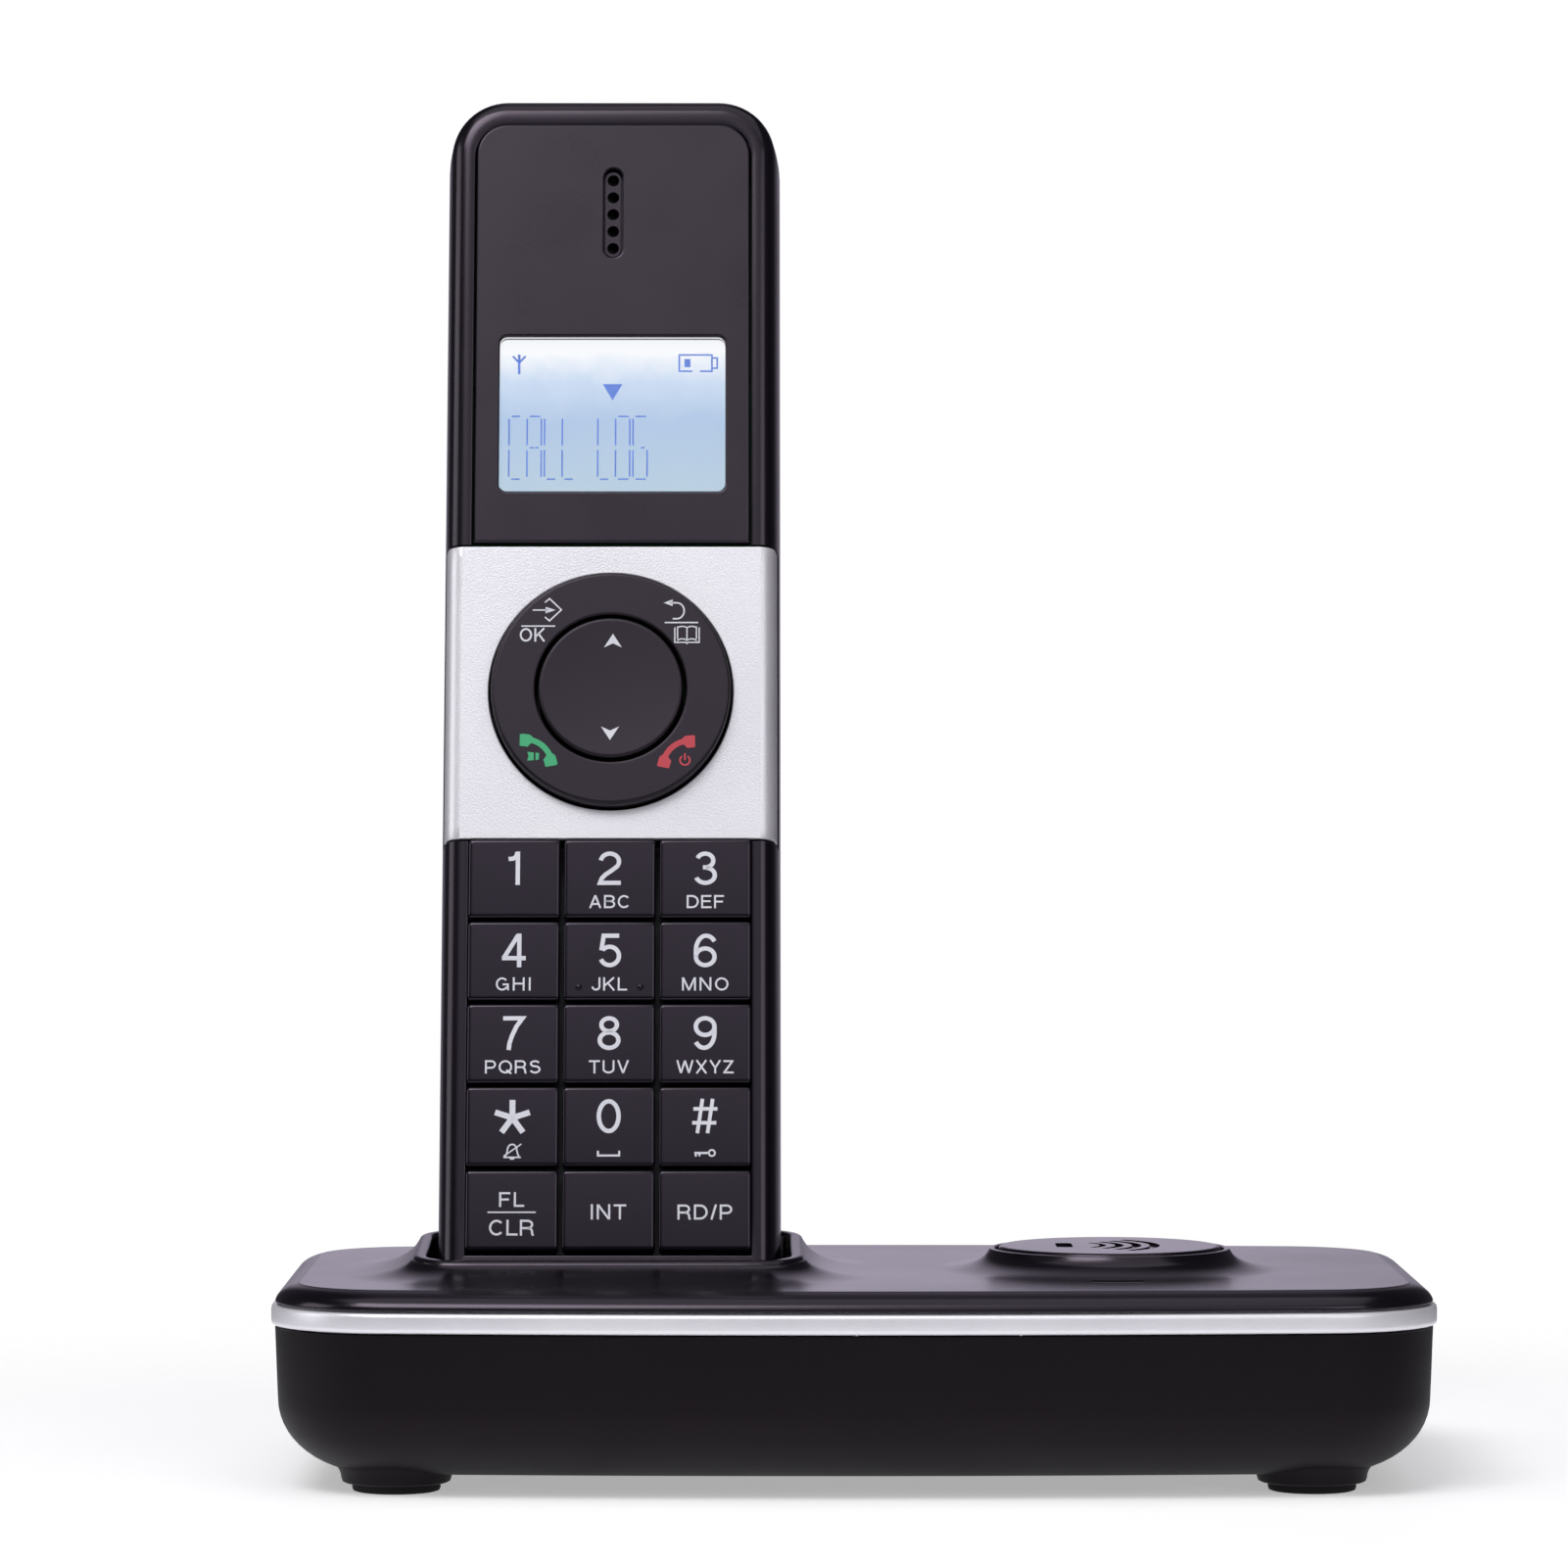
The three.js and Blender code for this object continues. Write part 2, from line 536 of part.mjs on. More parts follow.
// The whole handset's outer form grown by an extra, from one depth to another.
function handsetForm(extra, depths) {
  const rings = [];
  const add = (depth, inset) => rings.push(raised(handsetRing(inset - extra), -depth));
  const back = HANDSET.thick + extra;
  for (const a of quarter(4).reverse())
    add(back - BACK_ROUND.up * (1 - Math.sin(a)), BACK_ROUND.across * (1 - Math.cos(a)));
  for (const a of quarter(3))
    add(FRONT_ROUND * (1 - Math.sin(a)) - extra, FRONT_ROUND * (1 - Math.cos(a)));
  const whole = toSolid(loft(rings).rotateX(Math.PI / 2));
  return whole.intersect(box([-90, 90], depths, [-20, 220]));
}

const inBand = (z) => [TRIM.z[0] - z, TRIM.z[1] + z];

function frontShell() {
  const step = TRIM.thick + GAP;
  let shell = cut(handsetForm(0, [-1, SPLIT_Y - 0.15]), handsetForm(-SHELL, [-1, 30]));
  // a sleeve inside the band, so that the wall stays whole where it is stepped down under it
  const sleeve = handsetForm(-SHELL + 0.4, [-1, SPLIT_Y - 0.15]).subtract(
    handsetForm(-step - 1.4, [-1, 30]),
  );
  shell = shell.add(sleeve.intersect(box([-90, 90], [-9, 30], inBand(1.8))));
  const outside = handsetForm(2, [-5, 30]).subtract(handsetForm(-step, [-5, 30]));
  const underBand = box([-90, 90], [-9, TRIM.sideDepth + GAP], inBand(GAP));
  shell = shell.subtract(outside.intersect(underBand));
  // the face plate lies in a recess whose floor is open behind the display and the earpiece
  const floorY = PLATE.thick + 0.4;
  const floorZ = [PLATE.z[0] - 0.1, PLATE.z[1] + 0.7];
  const floor = facePrism(roundedRect(PLATE.width + 2.3, floorZ, 5), [floorY, floorY + 0.8]);
  const displayZ = [WINDOW.z[0] - 1.2, WINDOW.z[1] + 1.2];
  shell = cut(
    shell.add(floor),
    facePrism(recessOutline(), [-2, floorY]),
    box([-17, 17], [-2, 6], displayZ),
    peg(0, EARPIECE_Z, [-2, 6], EARPIECE.opening, 16),
    peg(0, DIAL_Z, [-9, 9], RING.outer + 0.9, 32),
    box([-20.1, 20.1], [-2, 6], [KEY.lowestZ - 0.3, TRIM.z[0] - 0.2]), // keypad opening
  );
  // blind bosses that the two case screws bite into
  for (const side of [-1, 1]) {
    const at = [side * HANDSET_SCREW.x, HANDSET_SCREW.z];
    shell = shell.add(peg(...at, [2, 7.2], 2.4, 10));
    shell = shell.subtract(peg(...at, [3.9, 8], 1.2, 8));
  }
  return shell;
}

function recessOutline() {
  const z = [PLATE.z[0] - 0.2, PLATE.z[1] + 0.2];
  return roundedRect(PLATE.width + 0.4, z, PLATE.corner + 0.2, 0.5);
}

function trimCap() {
  const { thick, proud, sideDepth } = TRIM;
  const cap = handsetForm(proud, [-2, sideDepth]).subtract(handsetForm(-thick, [-5, 30]));
  return cut(
    cap.intersect(box([-90, 90], [-9, 30], TRIM.z)),
    peg(0, DIAL_Z, [-9, 9], RING.outer + 0.4, 36),
  );
}

// The compartment for the cells is a tray in the rear shell, open at a ledge that the door slides on.
const TRAY = { x: 13.4, y: [9.4, 20.5], z: [35.4, 89.2], wall: 1.2, floor: 0.9 };
const LEDGE_Y = [20, 21.6];
const SPEAKER = { z: 133, radius: 10, y: [14.5, 19.6] };
const GRILLE = { slots: 5, pitch: 3, half: 0.65, reach: 6 };
const REAR_BOSS = { radius: 3.2, footY: 9.3, shank: 1.3, head: 2.6 };
const PAD_SEAT = { half: 2.7, y: [10.2, 15.2], top: 0.85 };
const CHARGE_PAD = { half: 2.4, y: [11, 14.9], z: [0.05, 0.55] };

function rearShell() {
  let shell = cut(handsetForm(0, [SPLIT_Y + 0.15, 60]), handsetForm(-SHELL, [-5, 60]));
  const ledge = box([-21, 21], LEDGE_Y, [DOOR.z[0] - 7, DOOR.z[1] + 3]);
  shell = shell.add(ledge.intersect(handsetForm(-SHELL / 2, [-5, 60])));
  shell = shell.add(box([-TRAY.x, TRAY.x], TRAY.y, TRAY.z));
  for (const side of [-1, 1])
    shell = shell.add(
      peg(
        side * HANDSET_SCREW.x,
        HANDSET_SCREW.z,
        [REAR_BOSS.footY, LEDGE_Y[0] + 0.5],
        REAR_BOSS.radius,
        10,
      ),
    );
  const doorway = [DOOR.z[0] - DOOR.travel - 0.5, DOOR.z[1] + GAP];
  shell = cut(
    shell,
    facePrism(roundedRect(DOOR.width + 2 * GAP, doorway, 2.2), [LEDGE_Y[1], 60], 2),
    box(
      [-TRAY.x + TRAY.wall, TRAY.x - TRAY.wall],
      [TRAY.y[0] + TRAY.floor, 60],
      [TRAY.z[0] + TRAY.wall, TRAY.z[1] - TRAY.wall],
    ),
  );
  for (const side of [-1, 1]) {
    const at = [side * HANDSET_SCREW.x, HANDSET_SCREW.z];
    shell = cut(
      shell,
      peg(...at, [9, 30], REAR_BOSS.shank, 8), // clearance for the shank
      peg(...at, [HANDSET_SCREW.headY[0] - GAP, 30], REAR_BOSS.head, 10), // counterbore for the head
    );
  }
  // grille of the hands-free speaker
  for (let i = 0; i < GRILLE.slots; i++) {
    const place = i - (GRILLE.slots - 1) / 2;
    const x = place * GRILLE.pitch;
    const reach = GRILLE.reach - Math.abs(place);
    const z = [SPEAKER.z - reach, SPEAKER.z + reach];
    shell = shell.subtract(box([x - GRILLE.half, x + GRILLE.half], [19, 30], z));
  }
  // seats of the charging pads in the lower end
  for (const side of [-1, 1]) {
    const x = side * CONTACT_X;
    shell = shell.subtract(
      box([x - PAD_SEAT.half, x + PAD_SEAT.half], PAD_SEAT.y, [-1, PAD_SEAT.top]),
    );
  }
  return shell;
}

function chargePad(side) {
  const x = side * CONTACT_X;
  return box([x - CHARGE_PAD.half, x + CHARGE_PAD.half], CHARGE_PAD.y, CHARGE_PAD.z);
}

// The door's skin follows the back of the handset.
function batteryDoor() {
  const outline = roundedRect(DOOR.width, DOOR.z, 2);
  const skin = cut(handsetForm(0, [SPLIT_Y, 60]), handsetForm(-DOOR.thick, [-5, 60]));
  return skin.intersect(facePrism(outline, [LEDGE_Y[1] + GAP, 60], 2));
}

addPart(handset, "handset_front_shell", frontShell(), SATIN_BLACK);
addPart(handset, "handset_rear_shell", rearShell(), SATIN_BLACK);
addPart(handset, "handset_trim_band", trimCap(), SILVER);
addPart(handset, "charge_pad_left", chargePad(-1), NICKEL);
addPart(handset, "charge_pad_right", chargePad(1), NICKEL);
addPart(handset, "battery_door", batteryDoor(), SATIN_BLACK);

// ---------------------------------------------------------------- face plate and display
function facePlate() {
  const { width, z, corner, thick } = PLATE;
  const hole = roundedRect(WINDOW.width, WINDOW.z, WINDOW.corner);
  const slot = roundedRect(EAR_SLOT.width, EAR_SLOT.z, EAR_SLOT.width / 2 - 0.01);
  let plate = facePrism(roundedRect(width, z, corner, 0.3), [0.1, 0.1 + thick]);
  plate = cut(plate, facePrism(hole, [-1, 3], 3), facePrism(slot, [-1, 0.7], 3));
  const pitch = (EAR_SLOT.z[1] - EAR_SLOT.z[0] - EAR_SLOT.width) / (EAR_SLOT.holes - 1);
  for (let i = 0; i < EAR_SLOT.holes; i++) {
    const z = EAR_SLOT.z[0] + EAR_SLOT.width / 2 + i * pitch;
    plate = plate.subtract(peg(0, z, [-1, 3], EAR_SLOT.holeRadius, 8));
  }
  return plate;
}

const windowMiddle = (WINDOW.z[0] + WINDOW.z[1]) / 2;
const windowPane = (grow, y) => {
  const half = (WINDOW.z[1] - WINDOW.z[0]) / 2 + grow;
  const z = [windowMiddle - half, windowMiddle + half];
  return facePrism(roundedRect(WINDOW.width + 2 * grow, z, 0.8), y, 3);
};
addPart(handset, "face_plate", facePlate(), GLOSS_BLACK);
addPart(handset, "display_lens", windowPane(-0.15, [0.45, 1.25]), CLEAR);
addPart(handset, "lcd_panel", windowPane(0.7, [2.5, 4.2]), GLASS);
addPart(handset, "backlight_panel", windowPane(0.7, [4.4, 7.2]), DIFFUSER);

// ---------------------------------------------------------------- dial ring and rocker
// A profile of [radius, depth] pairs turned about the dial's own axis.
function turned(points, segments) {
  const profile = points.map(([r, y]) => new THREE.Vector2(r, y));
  return toSolid(new THREE.LatheGeometry(profile, segments).translate(0, 0, DIAL_Z));
}

const ringProfile = [
  [RING.inner, RING.top + 0.3],
  [RING.inner + 0.4, RING.top],
  [RING.outer - 0.6, RING.top + 0.1],
  [RING.outer, RING.top + 0.7],
  [RING.outer, RING.flangeY[0]],
  [RING.flange, RING.flangeY[0]],
  [RING.flange, RING.flangeY[1]],
  [RING.inner, RING.flangeY[1]],
  [RING.inner, RING.top + 0.3],
];
const webProfile = [
  [WEB.radii[0], WEB.y[0]],
  [WEB.radii[1], WEB.y[0]],
  [WEB.radii[1], WEB.y[1]],
  [WEB.radii[0], WEB.y[1]],
  [WEB.radii[0], WEB.y[0]],
];
const rockerProfile = [
  [0, ROCKER.top + 0.25],
  [ROCKER.radius - 1.2, ROCKER.top],
  [ROCKER.radius, ROCKER.top + 0.6],
  [ROCKER.radius, ROCKER.foot],
  [ROCKER.stemRadius, ROCKER.foot],
  [ROCKER.stemRadius, ROCKER.stemEnd],
  [0, ROCKER.stemEnd],
];
addPart(handset, "nav_ring", turned(ringProfile, 32), SATIN_BLACK);
addPart(handset, "nav_ring_web", turned(webProfile, 24), SILICONE);
addPart(handset, "nav_rocker", turned(rockerProfile, 28), SATIN_BLACK);

// ---------------------------------------------------------------- keypad
function keycap(column, row) {
  const width = KEY.pitchX - KEY.gap - 2 * KEY.bevel;
  const height = KEY.pitchZ - KEY.gap - 2 * KEY.bevel;
  const x = (column - 1) * KEY.pitchX;
  const z = KEY.lowestZ + (row + 0.5) * KEY.pitchZ;
  const shape = roundedRect(width, [-height / 2, height / 2], 0.4);
  const g = new THREE.ExtrudeGeometry(shape, {
    depth: KEY.foot - KEY.top - 2 * KEY.bevel,
    bevelThickness: KEY.bevel,
    bevelSize: KEY.bevel,
    bevelSegments: 1,
    curveSegments: 1,
  });
  return toSolid(g.rotateX(Math.PI / 2).translate(x, KEY.foot - KEY.bevel, z));
}
KEY_ROWS.forEach((names, row) =>
  names.forEach((name, column) => addPart(handset, name, keycap(column, row), GLOSS_BLACK)),
);

// One silicone sheet with a pad under each key.
function keypadMat() {
  const top = KEY.lowestZ + KEY_ROWS.length * KEY.pitchZ;
  const [padX, padZ] = MAT.padHalf;
  let mat = box([-MAT.halfWidth, MAT.halfWidth], MAT.y, [KEY.lowestZ, top]);
  for (let row = 0; row < KEY_ROWS.length; row++)
    for (let column = 0; column < 3; column++) {
      const x = (column - 1) * KEY.pitchX;
      const z = KEY.lowestZ + (row + 0.5) * KEY.pitchZ;
      mat = mat.add(box([x - padX, x + padX], [MAT.padY, 6], [z - padZ, z + padZ]));
    }
  return mat;
}
addPart(handset, "keypad_mat", keypadMat(), SILICONE);

// ---------------------------------------------------------------- handset internals
const halfBoard = HANDSET_BOARD.width / 2;
let handsetBoard = box([-halfBoard, halfBoard], HANDSET_BOARD.y, HANDSET_BOARD.z);
for (const side of [-1, 1])
  handsetBoard = handsetBoard.subtract(
    peg(side * HANDSET_SCREW.x, HANDSET_SCREW.z, [0, 20], HANDSET_BOARD.screwHole, 8),
  );
addPart(handset, "handset_circuit_board", handsetBoard, BOARD_GREEN);
addPart(handset, "earpiece_speaker", peg(0, EARPIECE_Z, EARPIECE.y, EARPIECE.radius, 16), CONE_PAPER);
addPart(handset, "loudspeaker", peg(0, SPEAKER.z, SPEAKER.y, SPEAKER.radius, 20), CONE_PAPER);
addPart(handset, "microphone", peg(0, MICROPHONE.z, MICROPHONE.y, MICROPHONE.radius, 12), NICKEL);

const [smallEnd, largeEnd] = SPRING_RADII;
for (const [side, name] of [
  [-1, "left"],
  [1, "right"],
]) {
  const barrel = post(side * CELL.x, CELL.y, [CELL.z, CELL.z + CELL.length - 1], CELL.radius, 16);
  const tip = CELL.z + CELL.length;
  const nubEnds = side < 0 ? [tip - 1.5, tip] : [CELL.z - 0.8, CELL.z + 0.5];
  const cell = barrel.add(post(side * CELL.x, CELL.y, nubEnds, 1.9, 10));
  addPart(handset, "battery_cell_" + name, cell, CELL_WRAP);

  const terminal = joined(
    box(
      [side * TERMINAL.x - TERMINAL.halfWidth, side * TERMINAL.x + TERMINAL.halfWidth],
      TERMINAL.y,
      TERMINAL.z,
    ),
    post(side * CELL.x, CELL.y, [37.5, 38.9], largeEnd, 10, smallEnd),
  );
  addPart(handset, "battery_terminal_" + name, terminal, NICKEL);

  const screw = joined(
    peg(side * HANDSET_SCREW.x, HANDSET_SCREW.z, HANDSET_SCREW.headY, HANDSET_SCREW.headRadius, 10),
    peg(side * HANDSET_SCREW.x, HANDSET_SCREW.z, [HANDSET_SCREW.tipY, 18], HANDSET_SCREW.shankRadius, 8),
  );
  addPart(handset, "handset_screw_" + name, screw, STEEL);
}
const link = joined(
  box([-LINK.halfWidth, LINK.halfWidth], TERMINAL.y, LINK.z),
  post(-CELL.x, CELL.y, [85.1, 87], smallEnd, 10, largeEnd),
  post(CELL.x, CELL.y, [84.6, 87], smallEnd, 10, largeEnd),
);
addPart(handset, "battery_link_spring", link, NICKEL);

export default root;
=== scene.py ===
import json
import math

import bmesh
import bpy
import numpy as np
from mathutils.geometry import delaunay_2d_cdt
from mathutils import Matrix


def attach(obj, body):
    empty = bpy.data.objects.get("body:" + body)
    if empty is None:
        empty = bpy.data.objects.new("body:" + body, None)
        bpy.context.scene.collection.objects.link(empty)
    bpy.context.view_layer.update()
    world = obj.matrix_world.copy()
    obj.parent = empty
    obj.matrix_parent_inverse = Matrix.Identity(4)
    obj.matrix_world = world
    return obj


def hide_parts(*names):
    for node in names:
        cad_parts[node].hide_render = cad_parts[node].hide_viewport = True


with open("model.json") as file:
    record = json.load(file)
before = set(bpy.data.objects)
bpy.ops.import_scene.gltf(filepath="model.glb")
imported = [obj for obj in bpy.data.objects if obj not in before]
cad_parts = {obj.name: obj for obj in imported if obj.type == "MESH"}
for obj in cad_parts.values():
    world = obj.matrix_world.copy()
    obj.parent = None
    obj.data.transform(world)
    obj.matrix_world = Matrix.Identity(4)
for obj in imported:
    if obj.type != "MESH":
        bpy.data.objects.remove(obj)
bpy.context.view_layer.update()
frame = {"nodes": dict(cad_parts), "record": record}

# ------------------------------------------------------------------ camera, floor and light
# A long lens a metre in front of the set, just above the handset's middle. The set stands on a plain
# white laminate table, lit by soft boxes in a pale studio.
scene = bpy.context.scene
camera = bpy.data.objects.new("camera", bpy.data.cameras.new("camera"))
camera.data.lens = 161.1
camera.data.sensor_width = 36.0
camera.data.clip_end = 20.0
camera.location = (-0.0141, -0.9757, 0.1077)
camera.rotation_euler = (math.radians(90 - 0.73), 0.0, math.radians(-0.276))
scene.collection.objects.link(camera)
scene.camera = camera
scene.view_settings.view_transform = "Standard"


def linear(code):
    """sRGB hex to linear red, green, blue and one: each channel is divided by 12.92 below 0.04045, and
    above it raised to 2.4 after an offset of 0.055."""
    c = np.array([int(code[i : i + 2], 16) for i in (1, 3, 5)]) / 255
    return (*np.where(c <= 0.04045, c / 12.92, ((c + 0.055) / 1.055) ** 2.4), 1.0)


def add(tree, kind, values=None, links=None, **settings):
    """Adds one node: settings are its own, values go on its sockets, links come from other sockets."""
    made = tree.nodes.new(kind)
    for key, value in settings.items():
        setattr(made, key, value)
    for key, value in (values or {}).items():
        made.inputs[key].default_value = value
    for key, socket in (links or {}).items():
        tree.links.new(socket, made.inputs[key])
    return made


def blank(name):
    """A new material with an empty tree and its output."""
    made = bpy.data.materials.new(name)
    made.use_nodes = True
    made.node_tree.nodes.clear()
    return made, made.node_tree


def moulded(name, colours, roughness, grain, relief, cloud=14.0, **shader):
    """A moulded or lacquered surface. Its two hex colours and its two roughnesses drift over clouds of a
    size in mm, and a grain of a size in mm stands up by a relief in mm. The rest goes on the shader."""
    made, tree = blank(name)
    place = add(tree, "ShaderNodeTexCoord").outputs["Object"]
    clouds = add(tree, "ShaderNodeTexNoise", {"Scale": 1000 / cloud, "Detail": 3.0}, {"Vector": place})
    ramp = add(tree, "ShaderNodeValToRGB", links={"Fac": clouds.outputs["Fac"]})
    for stop, position, colour in zip(ramp.color_ramp.elements, (0.3, 0.7), colours):
        stop.position, stop.color = position, linear(colour)
    sheen = add(
        tree,
        "ShaderNodeMapRange",
        {"From Min": 0.3, "From Max": 0.7, "To Min": roughness[0], "To Max": roughness[1]},
        {"Value": clouds.outputs["Fac"]},
    )
    grains = add(tree, "ShaderNodeTexNoise", {"Scale": 1000 / grain, "Detail": 2.0}, {"Vector": place})
    bump = add(
        tree,
        "ShaderNodeBump",
        {"Strength": 1.0, "Distance": relief / 1000},
        {"Height": grains.outputs["Fac"]},
    )
    links = {
        "Base Color": ramp.outputs["Color"],
        "Roughness": sheen.outputs["Result"],
        "Normal": bump.outputs["Normal"],
    }
    surface = add(tree, "ShaderNodeBsdfPrincipled", shader, links)
    add(tree, "ShaderNodeOutputMaterial", links={"Surface": surface.outputs["BSDF"]})
    return made


# White laminate: a plain pale table top with a slight tooth, which fades into the studio's white sweep.
# It gives back a little light of its own, as an overlit table does.
lit = {"Emission Color": (1, 1, 1, 1), "Emission Strength": 0.4}
laminate = moulded("white laminate", ("#F1F1F3", "#F6F6F7"), (0.6, 0.7), 0.8, 0.01, cloud=80.0, **lit)
FLOOR_HALF, FADE_FROM, FADE_TO = 0.6, 0.1, 0.26
tree = laminate.node_tree
place = add(tree, "ShaderNodeTexCoord").outputs["Object"]
reach = add(tree, "ShaderNodeVectorMath", links={0: place}, operation="LENGTH").outputs["Value"]
span = {"From Min": FADE_FROM, "From Max": FADE_TO}
fade = add(tree, "ShaderNodeMapRange", span, {"Value": reach}, interpolation_type="SMOOTHSTEP")
gone = add(tree, "ShaderNodeBsdfTransparent")
solid = next(n for n in tree.nodes if n.type == "BSDF_PRINCIPLED")
ends = {0: fade.outputs["Result"], 1: solid.outputs[0], 2: gone.outputs[0]}
blend = add(tree, "ShaderNodeMixShader", links=ends)
tree.links.new(blend.outputs[0], next(n for n in tree.nodes if n.type == "OUTPUT_MATERIAL").inputs["Surface"])
floor_mesh = bpy.data.meshes.new("floor")
corners = [(sx * FLOOR_HALF, sy * FLOOR_HALF, 0) for sx, sy in ((-1, -1), (1, -1), (1, 1), (-1, 1))]
floor_mesh.from_pydata(corners, [], [(0, 1, 2, 3)])
floor_mesh.materials.append(laminate)
floor = bpy.data.objects.new("floor", floor_mesh)
scene.collection.objects.link(floor)

# The studio: white where the lens looks straight at its sweep. The set itself sees it dim low in front,
# lighter high in front, pale behind, and dark on both sides and overhead.
world = bpy.data.worlds.new("pale studio")
world.use_nodes = True
scene.world = world
sky = world.node_tree
sky.nodes.clear()
toward = add(sky, "ShaderNodeTexCoord").outputs["Generated"]
split = add(sky, "ShaderNodeSeparateXYZ", links={"Vector": toward})


def band_of_light(stops, tint):
    """A colour by height above the horizon, from pairs of height and linear grey, under one tint."""
    ramp = add(sky, "ShaderNodeValToRGB", links={"Fac": split.outputs["Z"]})
    while len(ramp.color_ramp.elements) < len(stops):
        ramp.color_ramp.elements.new(0.5)
    for stop, (position, grey) in zip(ramp.color_ramp.elements, stops):
        stop.position, stop.color = position, (*(grey * part for part in tint), 1)
    return ramp.outputs["Color"]


before = band_of_light(
    [(0.0, 0.015), (0.25, 0.04), (0.36, 0.5), (0.5, 0.95), (0.64, 0.6), (0.85, 0.12)], (1, 1, 1.05)
)
behind = band_of_light([(0.0, 0.78), (0.2, 0.6), (0.6, 0.3), (1.0, 0.12)], (1.08, 0.98, 1.22))
facing = add(sky, "ShaderNodeMapRange", {"From Min": -0.25, "From Max": 0.25}, {"Value": split.outputs["Y"]})
aside = add(sky, "ShaderNodeMath", links={0: split.outputs["X"]}, operation="ABSOLUTE")


def wall_of_light(colour, near, far):
    """A background at full strength up to one distance aside, and nearly dark from another on."""
    span = {"From Min": near, "From Max": far, "To Min": 1.0, "To Max": 0.08}
    shade = add(sky, "ShaderNodeMapRange", span, {"Value": aside.outputs[0]})
    made = add(sky, "ShaderNodeBackground", links={"Color": colour, "Strength": shade.outputs[0]})
    return made.outputs[0]


walls = {0: facing.outputs[0], 1: wall_of_light(before, 0.1, 0.4), 2: wall_of_light(behind, 0.06, 0.24)}
glow = add(sky, "ShaderNodeMixShader", links=walls)
plain = add(sky, "ShaderNodeBackground", {"Color": (1, 1, 1, 1), "Strength": 1.0})
seen = add(sky, "ShaderNodeLightPath").outputs["Is Camera Ray"]
studio = add(sky, "ShaderNodeMixShader", links={0: seen, 1: glow.outputs[0], 2: plain.outputs[0]})
add(sky, "ShaderNodeOutputWorld", links={"Surface": studio.outputs[0]})


def soft_box(name, place, target, size, power):
    """A rectangular soft box at a place, turned to face a target, with its size in metres."""
    lamp = bpy.data.lights.new(name, "AREA")
    lamp.shape = "RECTANGLE"
    lamp.size, lamp.size_y = size
    lamp.energy = power
    box = bpy.data.objects.new(name, lamp)
    box.location = place
    away = np.array(place) - np.array(target)
    box.rotation_euler = (math.atan2(math.hypot(*away[:2]), away[2]), 0.0, math.atan2(away[0], -away[1]))
    scene.collection.objects.link(box)


soft_box("soft box overhead", (0.05, -0.25, 1.15), (0, 0, 0.05), (1.5, 1.2), 4)
soft_box("soft box front left", (-0.5, -0.9, 1.35), (0, 0, 0.08), (0.9, 0.7), 12)
soft_box("soft box front right", (0.75, -1.1, 0.62), (0, 0, 0.1), (0.8, 0.7), 3.2)
soft_box("soft box left", (-1.4, -0.15, 0.45), (0, 0, 0.1), (0.8, 0.9), 4)

# ------------------------------------------------------------------ bottom shell of the base
# An injection-moulded ABS tub, spark-eroded outside. It has two openings in its back wall for the sockets,
# four counterbores for the case screws, and a flared boss over each foot.
SHIFT_Y = -1.2
SIDE_X, FRONT_Y, CORNER, BOW, STRAIGHT = 79.0, 43.5, 17.0, 2.5, 62.0
FLOOR_Z, DECK_Z = 2.4, 28.1
SOCKET_X, SOCKET_Z = ((1.2, 14.8), (25.0, 35.0)), (7.5, 18.9, 20.7)


def pairs(x, y):
    """Points from their two coordinates, either of which may be one number for them all."""
    return np.stack(np.broadcast_arrays(x, y), -1)


def raised(ring, height):
    """Points (x, y) lifted to a height, or each to its own."""
    return np.stack(np.broadcast_arrays(*ring.T, height), -1)


def ring_closed(ring):
    """A ring of points with its first one repeated at its end."""
    return np.concatenate([ring, ring[:1]])


def base_outline(inset):
    """The base's plan, drawn in by an inset, anticlockwise from its front left. Front and back bow out as
    parabolas, half - bow * (x / straight)^2; the corners are arcs that meet them without a crease."""
    r = max(CORNER - inset, 3.1)
    tilt = math.atan(2 * BOW * (STRAIGHT + 1.4) / STRAIGHT**2)
    cx, half = SIDE_X - inset - r, FRONT_Y - inset
    end = cx + r * math.sin(tilt)
    cy = half - BOW * (end / STRAIGHT) ** 2 - r * math.cos(tilt)
    front = np.linspace(-end, end, 61)[:-1]
    cuts = [x for pair in SOCKET_X for x in pair]
    back = np.sort(np.concatenate([np.linspace(-end, end, 55)[1:], cuts]))[::-1]
    turn = np.linspace(tilt, math.pi / 2, 19)
    side = np.linspace(-cy, cy, 12)[1:]
    corner = pairs(cx + r * np.sin(turn), -cy - r * np.cos(turn))
    right = np.concatenate([corner, pairs(cx + r, side), (corner * (1, -1))[-2::-1]])
    front = pairs(front, BOW * (front / STRAIGHT) ** 2 - half)
    back = pairs(back, half - BOW * (back / STRAIGHT) ** 2)[1:]
    return np.concatenate([front, right, back, -right]) + (0, SHIFT_Y)


def around(outline, rows):
    """A profile carried round an outline: each row is an inset and a height, and every point of the
    outline at that inset is lifted to that height. The last column repeats the first."""
    return np.stack([ring_closed(raised(outline(inset), z)) for inset, z in rows])


def sheet(grid, keep=None):
    """Quads between the neighbours of a grid of points. keep says which of its cells are there."""
    m, n = grid.shape[:2]
    i = np.arange(m * n).reshape(m, n)
    cells = np.stack([i[:-1, :-1], i[1:, :-1], i[1:, 1:], i[:-1, 1:]], -1)
    cells = cells.reshape(-1, 4) if keep is None else cells[keep]
    return grid.reshape(-1, 3), cells.tolist()


